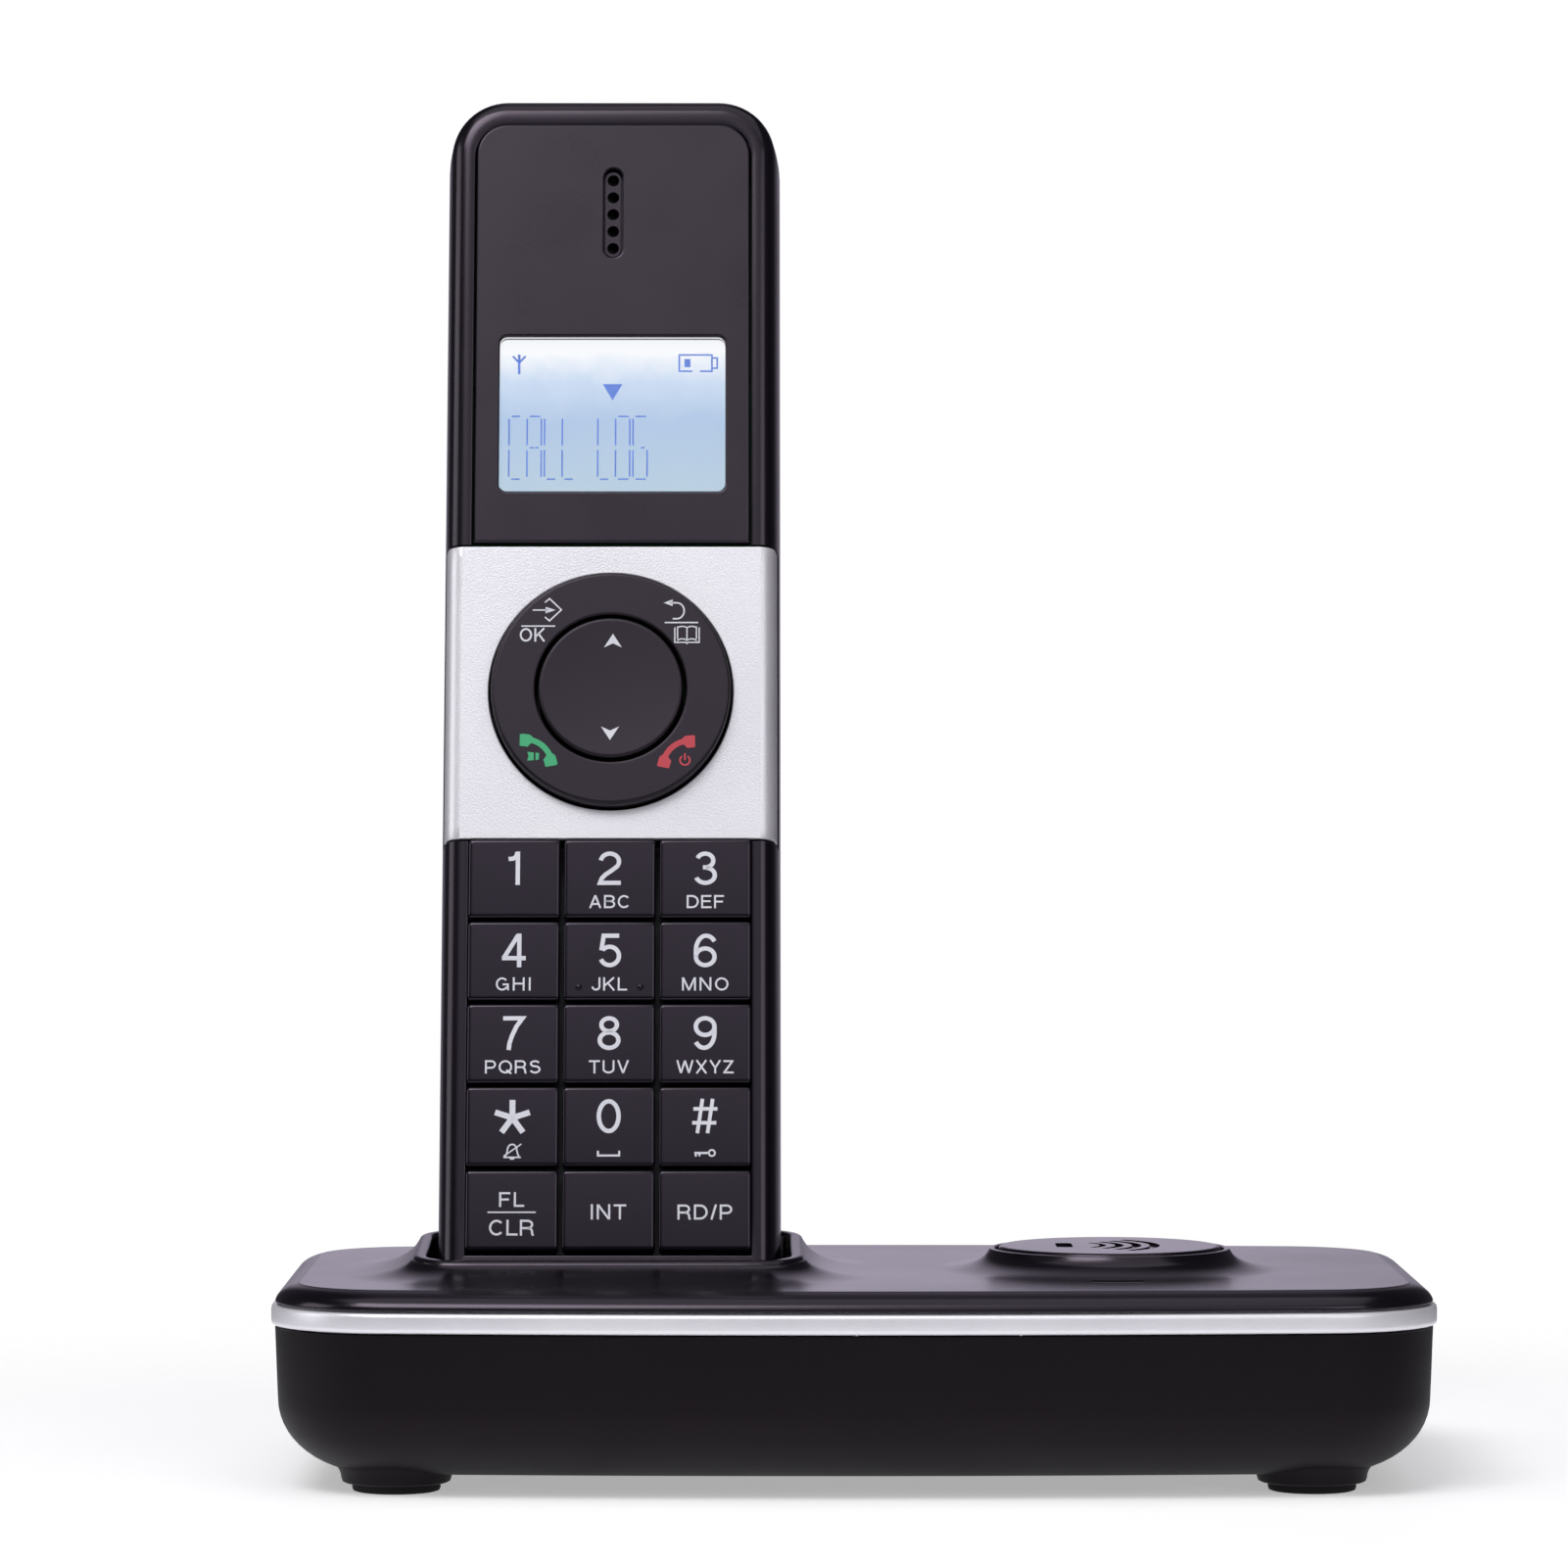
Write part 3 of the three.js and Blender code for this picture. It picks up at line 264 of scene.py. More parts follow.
def pane(loops, height):
    """A flat face at a height: the first loop bounds it and the others are its holes, triangulated so
    that every side of every loop stays an edge."""
    flat = np.concatenate(loops)
    ends = np.cumsum([len(loop) for loop in loops])
    rings = [list(range(end - len(loop), end)) for loop, end in zip(loops, ends)]
    points, _, faces = delaunay_2d_cdt([tuple(p) for p in flat], [], rings, 2, 1e-6)[:3]
    return raised(np.array([tuple(p) for p in points]), height), [list(f) for f in faces]


def circle(x, y, radius, count=48):
    """A circle of points about (x, y)."""
    t = np.linspace(0, 2 * math.pi, count, endpoint=False)
    return pairs(x + radius * np.cos(t), y + radius * np.sin(t))


def turned(profile, x=0.0, y=0.0, count=96):
    """A profile of (radius, height) turned about an upright axis through (x, y)."""
    t = np.linspace(0, 2 * math.pi, count + 1)
    r, h = np.array(profile, float).T
    return np.stack([x + np.outer(np.cos(t), r), y + np.outer(np.sin(t), r), np.tile(h, (count + 1, 1))], -1)


def in_plane(face):
    """Whether a face is a triangle that lies in one plane with a neighbour."""
    beside = (other for edge in face.edges for other in edge.link_faces if other != face)
    return len(face.verts) == 3 and any(face.normal.dot(other.normal) > 0.99999 for other in beside)


def skin(name, patches, body, material, heart=None, sharp=40, wall=None, edge=None):
    """Makes one piece of patches of points and faces in mm: close points are merged and the faces turned
    outwards, away from the heart where the piece is open. wall gives the sheet a thickness inwards, and
    edge rounds its edges, both in mm. Edges sharper than an angle in degrees stay crisp, and flat panes
    are shaded flat."""
    points, faces = [], []
    for patch, own in patches:
        start = sum(len(p) for p in points)
        points.append(patch)
        faces += [[start + i for i in face] for face in own]
    mesh = bpy.data.meshes.new(name)
    mesh.from_pydata((np.concatenate(points) / 1000).tolist(), [], faces)
    work = bmesh.new()
    work.from_mesh(mesh)
    bmesh.ops.remove_doubles(work, verts=work.verts, dist=4e-6)
    bmesh.ops.dissolve_degenerate(work, edges=work.edges, dist=1e-7)
    bmesh.ops.recalc_face_normals(work, faces=work.faces)
    if heart is not None:
        middle = np.array(heart) / 1000
        reach = [np.array(f.calc_center_median()) - middle for f in work.faces]
        if sum(f.calc_area() * out @ np.array(f.normal) for f, out in zip(work.faces, reach)) < 0:
            bmesh.ops.reverse_faces(work, faces=work.faces)
    level = np.array([in_plane(face) for face in work.faces])
    work.to_mesh(mesh)
    work.free()
    mesh.set_sharp_from_angle(angle=math.radians(sharp))
    mesh.polygons.foreach_set("use_smooth", ~level)
    mesh.materials.append(material)
    piece = bpy.data.objects.new(name, mesh)
    scene.collection.objects.link(piece)
    if wall:
        solid = piece.modifiers.new("wall", "SOLIDIFY")
        solid.thickness, solid.offset = wall / 1000, -1.0
    if edge:
        bevel = piece.modifiers.new("edge", "BEVEL")
        bevel.width, bevel.segments, bevel.limit_method = edge / 1000, 2, "ANGLE"
        bevel.angle_limit = math.radians(50)
        bevel.use_clamp_overlap = True
    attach(piece, body)
    return piece


# Moulded ABS with a fine spark-eroded texture: nearly black, and too rough to mirror anything. The pigment
# of all these blacks leaves a faint violet cast on what they mirror.
VIOLET = {"Specular Tint": (0.95, 0.8, 1.0, 1.0)}
dull = {**VIOLET, "Specular IOR Level": 0.2}
tub_black = moulded("spark-eroded black ABS", ("#080607", "#0A0809"), (0.5, 0.58), 0.28, 0.012, **dull)
WALL_IN, ROUND_IN, ROUND_UP = 0.9, 13.0, 10.0
turns = np.append(np.linspace(0, math.pi / 2, 15), math.acos(1 - (SOCKET_Z[0] - FLOOR_Z) / ROUND_UP))
tub_rows = [(2.4, 22.3), (0.75, 22.3), (0.52, 22.1), (0.58, SOCKET_Z[2]), (0.65, SOCKET_Z[1]), (0.75, 16.0)]
tub_rows += [
    (WALL_IN + ROUND_IN * (1 - math.sin(a)), FLOOR_Z + ROUND_UP * (1 - math.cos(a)))
    for a in np.sort(turns)[::-1]
]
tub_grid = around(base_outline, tub_rows)
middle = (tub_grid[:-1, :-1] + tub_grid[1:, 1:]) / 2
open_cell = np.zeros(middle.shape[:2], bool)
for (x0, x1), z1 in zip(SOCKET_X, (SOCKET_Z[2], SOCKET_Z[1])):
    open_cell |= (
        (middle[..., 1] > 20) & (middle[..., 0] > x0) & (middle[..., 0] < x1)
        & (middle[..., 2] > SOCKET_Z[0]) & (middle[..., 2] < z1)
    )
quadrants = [(sx, sy) for sy in (-1, 1) for sx in (-1, 1)]
SCREWS = [(sx * 48.0, sy * 24.5 + SHIFT_Y) for sx, sy in quadrants]
FEET = [(sx * 62.0, sy * 25.5 + SHIFT_Y) for sx, sy in quadrants]
BORE, BORE_TOP = 3.0, 5.4
bores = [sheet(turned([(BORE, FLOOR_Z), (BORE, BORE_TOP), (1.5, BORE_TOP)], x, y, 48)) for x, y in SCREWS]
underside = pane([base_outline(WALL_IN + ROUND_IN)] + [circle(x, y, BORE) for x, y in SCREWS], FLOOR_Z)
shape = [sheet(tub_grid, ~open_cell), underside, *bores]
tub = skin("bottom_shell", shape, "base", tub_black, (0, 0, 14), wall=1.8)
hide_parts("base_bottom_shell")
boss_profile = [(0, 1.6), (6.3, 1.6), (6.3, 1.2), (7.0, 1.2), (7.3, 1.35), (7.45, 1.8), (7.55, 2.4)]
boss_profile += [(7.75, 2.9), (8.1, 3.4), (8.1, 5), (0, 5)]
foot_profile = [(0, 0.3), (4.2, 0.3), (4.5, 0.0), (5.5, 0.0), (5.85, 0.12), (5.98, 0.45)]
foot_profile += [(6.0, 2.0), (0, 2.0)]

# Feet: moulded rubber pads with a ground flat rim and a hollowed middle, pressed into the bosses.
dull = {"Specular IOR Level": 0.3}
foot_rubber = moulded("moulded rubber", ("#0B0B0B", "#111111"), (0.75, 0.85), 0.5, 0.01, **dull)
for name, (x, y) in zip(("front_left", "front_right", "rear_left", "rear_right"), FEET):
    boss = skin("foot_boss_" + name, [sheet(turned(boss_profile, x, y))], "base", tub_black, edge=0.1)
    foot = skin("foot_pad_" + name, [sheet(turned(foot_profile, x, y))], "base", foot_rubber)
    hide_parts("foot_" + name)

# ------------------------------------------------------------------ silver band of the base
# A ring moulded in ABS and sprayed with silver lacquer, clamped between the shells. Its lower edge is
# chamfered, a thin gap shows above it, and a ridge inside the gap locates the top shell.
silver = moulded(
    "silver metallic lacquer", ("#F1EFF7", "#F5F3FA"), (0.34, 0.42), 0.22, 0.03, cloud=25.0, Metallic=0.42
)
band_rows = [(2.6, 22.55), (0.32, 22.55), (0.05, 22.8), (0.0, 23.2), (0.0, 24.6), (0.08, 25.05), (0.3, 25.2)]
band_rows += [(1.3, 25.2), (1.5, 25.56), (2.6, 25.56), (2.6, 22.55)]
band = skin("base_band", [sheet(around(base_outline, band_rows))], "base", silver, sharp=60)
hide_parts("base_trim_band")

# ------------------------------------------------------------------ top shell of the base
# A satin ABS moulding. The deck rolls over at its edge; a collar sweeps up from it round the cradle, and
# another round the find button. The cradle's well leans with the handset, and has two slots for the pins.
LEAN = math.radians(14.5)
FOOT_OF_HANDSET = np.array([-33.5, -20.62, 23.24])
WELL = (24.85, 12.7, 4.0)
RIM_Z, RIM_SLOPE, RIM_Y = 31.6, 0.07, -6.06
BUTTON = (35.8, -1.7)


def leaning(points):
    """Points of the handset's own frame, x across, y depth and z along it, turned back by the lean and
    set in the cradle."""
    x, y, z = np.moveaxis(np.asarray(points, float), -1, 0)
    c, s = math.cos(LEAN), math.sin(LEAN)
    return np.stack([x, y * c + z * s, z * c - y * s], -1) + FOOT_OF_HANDSET


def rounded(a, b, r, side=8, corner=10):
    """A rounded rectangle of half sizes a and b, anticlockwise: four arcs of radius r, with the straight
    sides between them split into a number of steps."""
    turn = np.linspace(0, math.pi / 2, corner + 1)
    middles = [(a - r, b - r), (r - a, b - r), (r - a, r - b), (a - r, r - b)]
    quarters = [turn + k * math.pi / 2 for k in range(4)]
    arcs = [np.array(c) + r * pairs(np.cos(t), np.sin(t)) for c, t in zip(middles, quarters)]
    joins = [np.linspace(arcs[k][-1], arcs[(k + 1) % 4][0], side + 1)[1:-1] for k in range(4)]
    return np.concatenate([part for pair in zip(arcs, joins) for part in pair])


# Satin ABS: black with a faint violet cast; a smooth polish that gives soft mirror images at a low angle.
satin_black = moulded(
    "satin black ABS", ("#0F0D13", "#121016"), (0.2, 0.23), 0.5, 0.0004, cloud=30.0, **VIOLET
)
well_plan = rounded(*WELL, side=14) + (0, 12)
lift = RIM_Z + RIM_SLOPE * (FOOT_OF_HANDSET[1] + well_plan[:, 1] * math.cos(LEAN) - RIM_Y)
lift = lift - FOOT_OF_HANDSET[2] + well_plan[:, 1] * math.sin(LEAN)
lift = lift / (math.cos(LEAN) - RIM_SLOPE * math.sin(LEAN))
mouth = leaning(raised(well_plan, lift))
along = np.roll(mouth, -1, 0)[:, :2] - np.roll(mouth, 1, 0)[:, :2]
outwards = pairs(along[:, 1], -along[:, 0]) / np.linalg.norm(along, axis=1)[:, None]


def collar_ring(out, share, drop=0.0):
    """The cradle's mouth moved outwards in plan, at a share of the height from the deck to the rim's
    sloping plane, less a drop."""
    plan = mouth[:, :2] + out * outwards
    rim = RIM_Z + RIM_SLOPE * (plan[:, 1] - RIM_Y)
    return ring_closed(raised(plan, DECK_Z + (rim - DECK_Z) * share - drop))


lip = [(0, 0.5), (0.07, 0.25), (0.25, 0.07), (0.5, 0), (1.2, 0), (1.5, 0.07), (1.75, 0.27), (1.88, 0.55)]
sweep = np.radians(np.linspace(77, 0, 18))
collar = np.stack(
    [collar_ring(out, 1, drop) for out, drop in lip]
    + [collar_ring(1.9 + 9.5 * (1 - math.sin(a)), 1 - math.cos(a)) for a in sweep]
)
WELL_FOOT, WELL_TOP = -0.7, 0.52
climb = lift - WELL_TOP - WELL_FOOT
wall_rows = [ring_closed(leaning(raised(well_plan, WELL_FOOT + climb * t))) for t in (0, 0.3, 0.6, 0.85, 1)]
button_sweep = np.radians(np.sort(np.append(np.linspace(0, 73, 15), 11.9))[::-1])
button_profile = [(15.85, 25), (15.85, 30.5), (15.95, 30.78), (16.2, 30.9), (16.42, 30.9), (16.66, 30.82)]
button_profile.append((16.79, 30.6))
button_profile += [(16.8 + 7.5 * (1 - math.sin(a)), DECK_Z + 2.8 * (1 - math.cos(a))) for a in button_sweep]
button_profile += [(25.2, DECK_Z), (26, DECK_Z)]
collar_steps = 252
button_collar = turned(button_profile, *BUTTON, collar_steps)
keep = np.ones((collar_steps, len(button_profile) - 1), bool)
front_step = collar_steps * 3 // 4
radii = np.array([r for r, _ in button_profile])
keep[front_step - 6 : front_step + 6, (radii[:-1] > 22.7) & (radii[:-1] < 25.1)] = False
roll_end = math.radians(70)
skirt_rows = [(3.0, 25.52), (0.8, 25.52), (0.58, 25.6)] + [
    (0.5 + 3.2 * (1 - math.cos(a)) / (1 - math.cos(roll_end)), 25.4 + 2.64 * math.sin(a) / math.sin(roll_end))
    for a in np.linspace(0.12, roll_end, 12)
]
skirt_rows += [(3.77, DECK_Z - 0.025), (3.9, DECK_Z)]
deck = pane([base_outline(3.9), collar[-1, :-1, :2], circle(*BUTTON, 26, collar_steps)], DECK_Z)
shape = [sheet(around(base_outline, skirt_rows)), deck, sheet(collar)]
shape += [sheet(np.stack(wall_rows + [collar[0]])), sheet(button_collar, keep)]
top = skin("top_shell", shape, "base", satin_black, (0, 0, 14))
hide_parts("base_top_shell")

floor_x = np.array([-25, -11.5, -8.5, 0, 8.5, 11.5, 25.0])
floor_y = np.array([-0.8, 10.5, 13.5, 24.8])
fx, fy = np.meshgrid(floor_x, floor_y, indexing="ij")
no_slot = np.ones((6, 3), bool)
no_slot[[1, 4], 1] = False
shape = [sheet(leaning(np.stack([fx, fy, np.full_like(fx, -0.5)], -1)), no_slot)]
well_floor = skin("well_floor", shape, "base", satin_black, (-33.5, -5, 60), wall=-1.5)

# The status light: a smoked acrylic bar that follows the foot of the button's collar, flush with the deck.
smoked = moulded("smoked acrylic", ("#17161B", "#1B1A20"), (0.1, 0.14), 0.6, 0.0004, IOR=1.49)
t = np.radians(np.linspace(-98.3, -81.7, 18))
bar_rows = [(22.95, 26.5), (22.95, 28.04), (23.03, 28.09), (24.94, 28.09), (25.04, 28.04), (25.04, 26.5)]
bar_rows.append(bar_rows[0])
bar = np.stack([raised(pairs(BUTTON[0] + r * np.cos(t), BUTTON[1] + r * np.sin(t)), z) for r, z in bar_rows])
light = skin("status_light", [sheet(bar)], "base", smoked)
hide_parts("status_light_guide")

# ------------------------------------------------------------------ find button
# A moulded cap with a paging sign sunk into its flat top, a retaining flange under the deck and a stem
# over its switch. The sunk sign is polished, the rest is satin.
sign_at = (BUTTON[0] - 6.3, BUTTON[1])
CAP_TOP, SIGN_Z = 31.2, 30.8


def fan(radius, width, half_angle):
    """A curved bar about the sign's source: an arc outwards and an arc back, with square ends."""
    t = np.radians(np.linspace(-half_angle, half_angle, 33))
    arc = pairs(np.cos(t), np.sin(t))
    outer, inner = (r * arc + sign_at for r in (radius + width / 2, radius - width / 2))
    return np.concatenate([outer, inner[::-1]])


sunk = [rounded(1.15, 3.7, 0.9) + sign_at]
sunk += [fan(r, w, 47) for r, w in ((5.4, 0.9), (7.7, 1.2), (10.1, 1.3), (12.6, 1.4))]
cap_profile = [(0, 11.6), (2, 11.6), (2, 23.6), (16.6, 23.6), (16.6, 24.8), (15.4, 24.8)]
cap_profile += [(15.4, 30.75), (15.3, 31.0), (15.08, 31.15), (14.8, CAP_TOP)]
shape = [sheet(turned(cap_profile, *BUTTON, 120)), pane([circle(*BUTTON, 14.8, 120)] + sunk, CAP_TOP)]
shape += [sheet(np.stack([ring_closed(raised(loop, z)) for z in (CAP_TOP, SIGN_Z)])) for loop in sunk]
shape += [pane([loop], SIGN_Z) for loop in sunk]
cap = skin("find_button_cap", shape, "find_button", satin_black)
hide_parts("find_button")

# ------------------------------------------------------------------ shells of the handset
# Two satin ABS half shells that meet halfway through the handset's depth. The front one is a frame round
# the face plate and the keypad, stepped in where the silver band lies on it. The rear one carries the
# battery door on a ledge, a grille, and seats for the charging pads.
WIDE, LONG, DEEP = 47.3, 174.8, 24.0
TOP_CORNER, LOW_CORNER = 8.7, 6.0
BAND = (66.3, 108.9)
DOORWAY = (26.5, 106.3, 18.3)
SPLIT = 10.5
PADS = (7.3, 12.7)
BACK_IN, BACK_UP = 8.5, 8.0
STEP, HAIR = 1.5, 0.001
side_z = [*np.linspace(14, 160, 48), BAND[0], BAND[0] + HAIR, BAND[1] - HAIR, BAND[1], *DOORWAY[:2]]
side_z = np.unique(side_z)


def handset_outline(inset):
    """The handset's face, drawn in by an inset, as (x, z) points anticlockwise from the middle of its
    lower end: straight sides joined by arcs, with larger ones at the top."""
    low, high = max(LOW_CORNER - inset, 1.0), max(TOP_CORNER - inset, 1.0)
    x = WIDE / 2 - inset
    t = np.linspace(0, math.pi / 2, 15)
    foot = pairs(np.array([0.0, *PADS]), inset)
    lower = pairs(x - low + low * np.sin(t), inset + low - low * np.cos(t))
    upper = pairs(x - high + high * np.cos(t), LONG - inset - high + high * np.sin(t))
    head = pairs(np.linspace(x - high, 0, 6)[1:], LONG - inset)
    half = np.concatenate([foot, lower, pairs(x, side_z), upper, head])
    return np.concatenate([half, (half * (-1, 1))[-2:0:-1]])


def upright(ring, depth):
    """Points (x, z) stood up at a depth behind the handset's face, or each at its own."""
    return np.stack(np.broadcast_arrays(ring[:, 0], depth, ring[:, 1]), -1)


def round_handset(rows, keep=0.0):
    """A profile carried round the handset's outline: each row is an inset and a depth behind the face.
    The top end doesn't follow the first keep mm of an inset, only the sides do."""
    rings = []
    for inset, depth in rows:
        ring = handset_outline(inset)
        ring[:, 1] += min(inset, keep) * np.clip((ring[:, 1] - 140) / (LONG - inset - 140), 0, 1)
        rings.append(ring_closed(upright(ring, depth)))
    return np.stack(rings)


def at_depth(patch, depth):
    """A flat patch drawn in (x, z), stood up in the handset at a depth behind its face."""
    return leaning(upright(patch[0], depth)), patch[1]


BULGE, EDGE_IN, CREASE = 0.75, 2.8, math.radians(11)
side_y = 2.12
start = math.atan(2 * BULGE / (12 - side_y))
radius = (EDGE_IN - BULGE) / (math.cos(start) - math.sin(CREASE))
side_rows = [(BULGE * ((12 - y) / (12 - side_y)) ** 2, y) for y in np.linspace(SPLIT - 0.3, side_y, 9)]
arc_rows = [
    (BULGE + radius * (math.cos(start) - math.cos(a)), side_y - radius * (math.sin(a) - math.sin(start)))
    for a in np.linspace(start, math.pi / 2 - CREASE, 14)[1:]
]
arc_rows = [(i, y - arc_rows[-1][1]) for i, y in arc_rows]
profile = np.array(side_rows + arc_rows)
slope = np.gradient(profile, axis=0)
normal = pairs(-slope[:, 1], slope[:, 0]) / np.linalg.norm(slope, axis=1)[:, None]
frame_grid = round_handset(profile, BULGE)
in_band = (frame_grid[0, :, 2] > BAND[0] + HAIR / 2) & (frame_grid[0, :, 2] < BAND[1] - HAIR / 2)
for i, (across, back) in enumerate(normal):
    covered = in_band & (profile[i, 1] < 5.2)
    frame_grid[i, covered, 0] -= np.sign(frame_grid[i, covered, 0]) * STEP * across
    frame_grid[i, covered, 1] += STEP * back


def lip_row(inset, half_x, low, depth):
    """The frame's inner edge: an inset outline beside the face plate, and below it a rectangle."""
    ring = handset_outline(inset)
    plain = pairs(np.clip(ring[:, 0], -half_x, half_x), np.maximum(ring[:, 1], low))
    ring = np.where((ring[:, 1] > BAND[1] - HAIR / 2)[:, None], ring, plain)
    made = ring_closed(upright(ring, depth))
    made[in_band, 1] += STEP
    return made


lip = [(3.85, 20.35, 7.95, 0.0), (3.99, 20.2, 8.1, 0.04), (4.08, 20.12, 8.18, 0.14), (4.1, 20.1, 8.2, 0.3)]
lip.append((4.1, 20.1, 8.2, 3.4))
seam = [(1.6, SPLIT - 0.12), (0.2, SPLIT - 0.12), (0.06, SPLIT - 0.18)]
shape = [round_handset(seam), frame_grid, np.stack([lip_row(*row) for row in lip])]
front = skin("handset_front", [sheet(leaning(np.concatenate(shape)))], "handset", satin_black, sharp=32)
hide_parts("handset_front_shell")

door_a = math.acos(1 - (WIDE / 2 - DOORWAY[2]) / BACK_IN)
back_a = np.sort(np.append(np.linspace(0, math.pi / 2, 17), door_a))
PAD_DEPTH, PAD_TOP, GRILLE_Z, SILL, CLOTH = 15.2, 0.3, 133, 21.6, 22.6
back_rows = [(1.6, SPLIT + 0.12), (0.2, SPLIT + 0.12), (0.05, SPLIT + 0.2), (0.0, SPLIT + 0.6), (0.0, 13.0)]
back_rows.append((0.0, PAD_DEPTH))
back_rows += [(BACK_IN * (1 - math.cos(a)), DEEP - BACK_UP * (1 - math.sin(a))) for a in back_a]
rear_grid = round_handset(back_rows)
middle = (rear_grid[:-1, :-1] + rear_grid[1:, 1:]) / 2
hole = (np.abs(middle[..., 0]) < DOORWAY[2]) & (middle[..., 2] > DOORWAY[0]) & (middle[..., 2] < DOORWAY[1])
on_pad = np.abs(np.abs(middle[..., 0]) - sum(PADS) / 2) < (PADS[1] - PADS[0]) / 2
hole |= on_pad & (middle[..., 2] < PAD_TOP) & (middle[..., 1] < PAD_DEPTH)
back = handset_outline(BACK_IN)
lower_back = back[back[:, 1] <= DOORWAY[0] + 1e-6]
upper_back = back[back[:, 1] >= DOORWAY[1] - 1e-6]
lower_back = lower_back[np.argsort(np.arctan2(lower_back[:, 1] - 18, lower_back[:, 0]))]
grille = [rounded(0.65, 6 - abs(i), 0.6, side=2, corner=6) + (3 * i, GRILLE_Z) for i in range(-2, 3)]


def back_depth(x):
    """Depth of the handset's back at x: flat in the middle, then a quarter of an ellipse."""
    c = np.clip(1 - (WIDE / 2 - np.abs(x)) / BACK_IN, 0, 1)
    return DEEP - BACK_UP * (1 - np.sqrt(1 - c**2))


edge_x = np.array([WIDE / 2 - i for i, _ in back_rows if WIDE / 2 - i <= DOORWAY[2] + 1e-6])
across = np.concatenate([edge_x, -edge_x[::-1]])
heights = side_z[(side_z >= DOORWAY[0] - 1e-9) & (side_z <= DOORWAY[1] + 1e-9)]
loop = np.concatenate(
    [
        pairs(DOORWAY[2], heights),
        pairs(across, DOORWAY[1])[1:],
        pairs(-DOORWAY[2], heights[::-1])[1:],
        pairs(across[::-1], DOORWAY[0])[1:],
    ]
)
walls = np.stack([upright(loop, back_depth(loop[:, 0])), upright(loop, SILL)])
ledge = [(sx * DOORWAY[2], z) for sx, z in zip((1, 1, -1, -1), (*DOORWAY[:2], *DOORWAY[1::-1]))]
shape = [sheet(leaning(rear_grid), ~hole), at_depth(pane([lower_back], 0), DEEP)]
shape += [at_depth(pane([upper_back] + grille, 0), DEEP), sheet(leaning(walls))]
heart = tuple(leaning([0, 12, 87]))
rear = skin("handset_rear", shape, "handset", satin_black, heart, sharp=32)
shape = [at_depth(pane([np.array(ledge)], 0), SILL + 0.02)]
ledge_piece = skin("battery_ledge", shape, "handset", satin_black)
shape = [at_depth(pane([rounded(8.5, 8.5, 8.4) + (0, GRILLE_Z)], 0), CLOTH)]
cloth = skin("grille_cloth", shape, "handset", foot_rubber)
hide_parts("handset_rear_shell")

# The battery door: a lid of the same ABS that slides down on the ledge, with ribs for the thumb.
DOOR_X, FLAT_X, RIB_PITCH, RIB_DEPTH = 18, 15.15, 2.4, 0.45
slope = np.linspace(DOOR_X, FLAT_X, 9)
door_x = np.concatenate([slope, np.linspace(FLAT_X, -FLAT_X, 41)[1:-1], -slope[::-1]])
dx, dz = np.meshgrid(door_x, np.linspace(31, 106, 301), indexing="ij")
ribs = np.clip(np.cos((dz - 34) / RIB_PITCH * 2 * math.pi), 0, 1) * (dz > 34.5) * (dz < 49)
ribs *= np.clip(9.5 - np.abs(dx), 0, 1)
shape = [sheet(leaning(np.stack([dx, back_depth(dx) - 0.02 - RIB_DEPTH * ribs, dz], -1)))]
heart = tuple(leaning([0, 12, 70]))
door = skin("battery_lid", shape, "battery_door", satin_black, heart, wall=1.4, edge=0.15)
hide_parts("battery_door")

# ------------------------------------------------------------------ silver band of the handset
# A thin moulded saddle sprayed with the same silver lacquer, clipped over the front shell. It wraps the
# front and the rolled edges, and has a round hole for the dial.
DIAL_Z, HOLE = 87.7, 17.05
BAND_TOP, BAND_LOW = 108.6, 66.6
band_rows = profile[profile[:, 1] < 4.9]
wrap_x, wrap_y = WIDE / 2 - band_rows[:, 0] + 0.02, band_rows[:, 1] - 0.12
wrap_z = np.linspace(BAND_LOW, BAND_TOP, 25)
border = np.concatenate([pairs(wrap_x[-1], wrap_z), pairs(-wrap_x[-1], wrap_z[::-1])])
shape = [at_depth(pane([border, circle(0, DIAL_Z, HOLE, 144)], 0), wrap_y[-1])]
for sx in (-1, 1):
    shape.append(sheet(leaning(np.stack(np.broadcast_arrays(sx * wrap_x, wrap_y, wrap_z[:, None]), -1))))
heart = tuple(leaning([0, 12, DIAL_Z]))
saddle = skin("handset_band", shape, "handset", silver, heart, sharp=8, wall=1.2, edge=0.14)
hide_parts("handset_trim_band")

# ------------------------------------------------------------------ face plate and display
# A satin plate pressed into the frame's recess with a bevel all round. It has a sunk slot with five sound
# holes, and a window over the display: a lens, a liquid crystal cell, and a light panel behind it.
plate_black = moulded(
    "satin black polycarbonate", ("#151218", "#19151C"), (0.25, 0.33), 0.6, 0.0005, cloud=11.0, **VIOLET
)
PLATE = (19.35, 109.3, 170.9, 4.4)
WINDOW = (15.9, 11.4, 128.1)


def plate_outline(inset):
    """The face plate's outline as (x, z): square below and rounded above, drawn in by an inset."""
    half, low, high, r = PLATE[0] - inset, PLATE[1] + inset, PLATE[2] - inset, PLATE[3] - inset
    t = np.linspace(0, math.pi / 2, 17)
    arc = pairs(half - r + r * np.cos(t), high - r + r * np.sin(t))
    right = np.concatenate([pairs(half, np.linspace(low, high - r, 25)[:-1]), arc])
    return np.concatenate([right, (right * (-1, 1))[::-1]])


def steps(rows):
    """Rings at their own depths, joined one to the next, in the handset's frame."""
    return sheet(leaning(np.stack([ring_closed(upright(ring, depth)) for ring, depth in rows])))


def bevelled(outline, rows):
    """The same, from an outline that is drawn in or grown by each row's first number."""
    return steps([(outline(by), depth) for by, depth in rows])


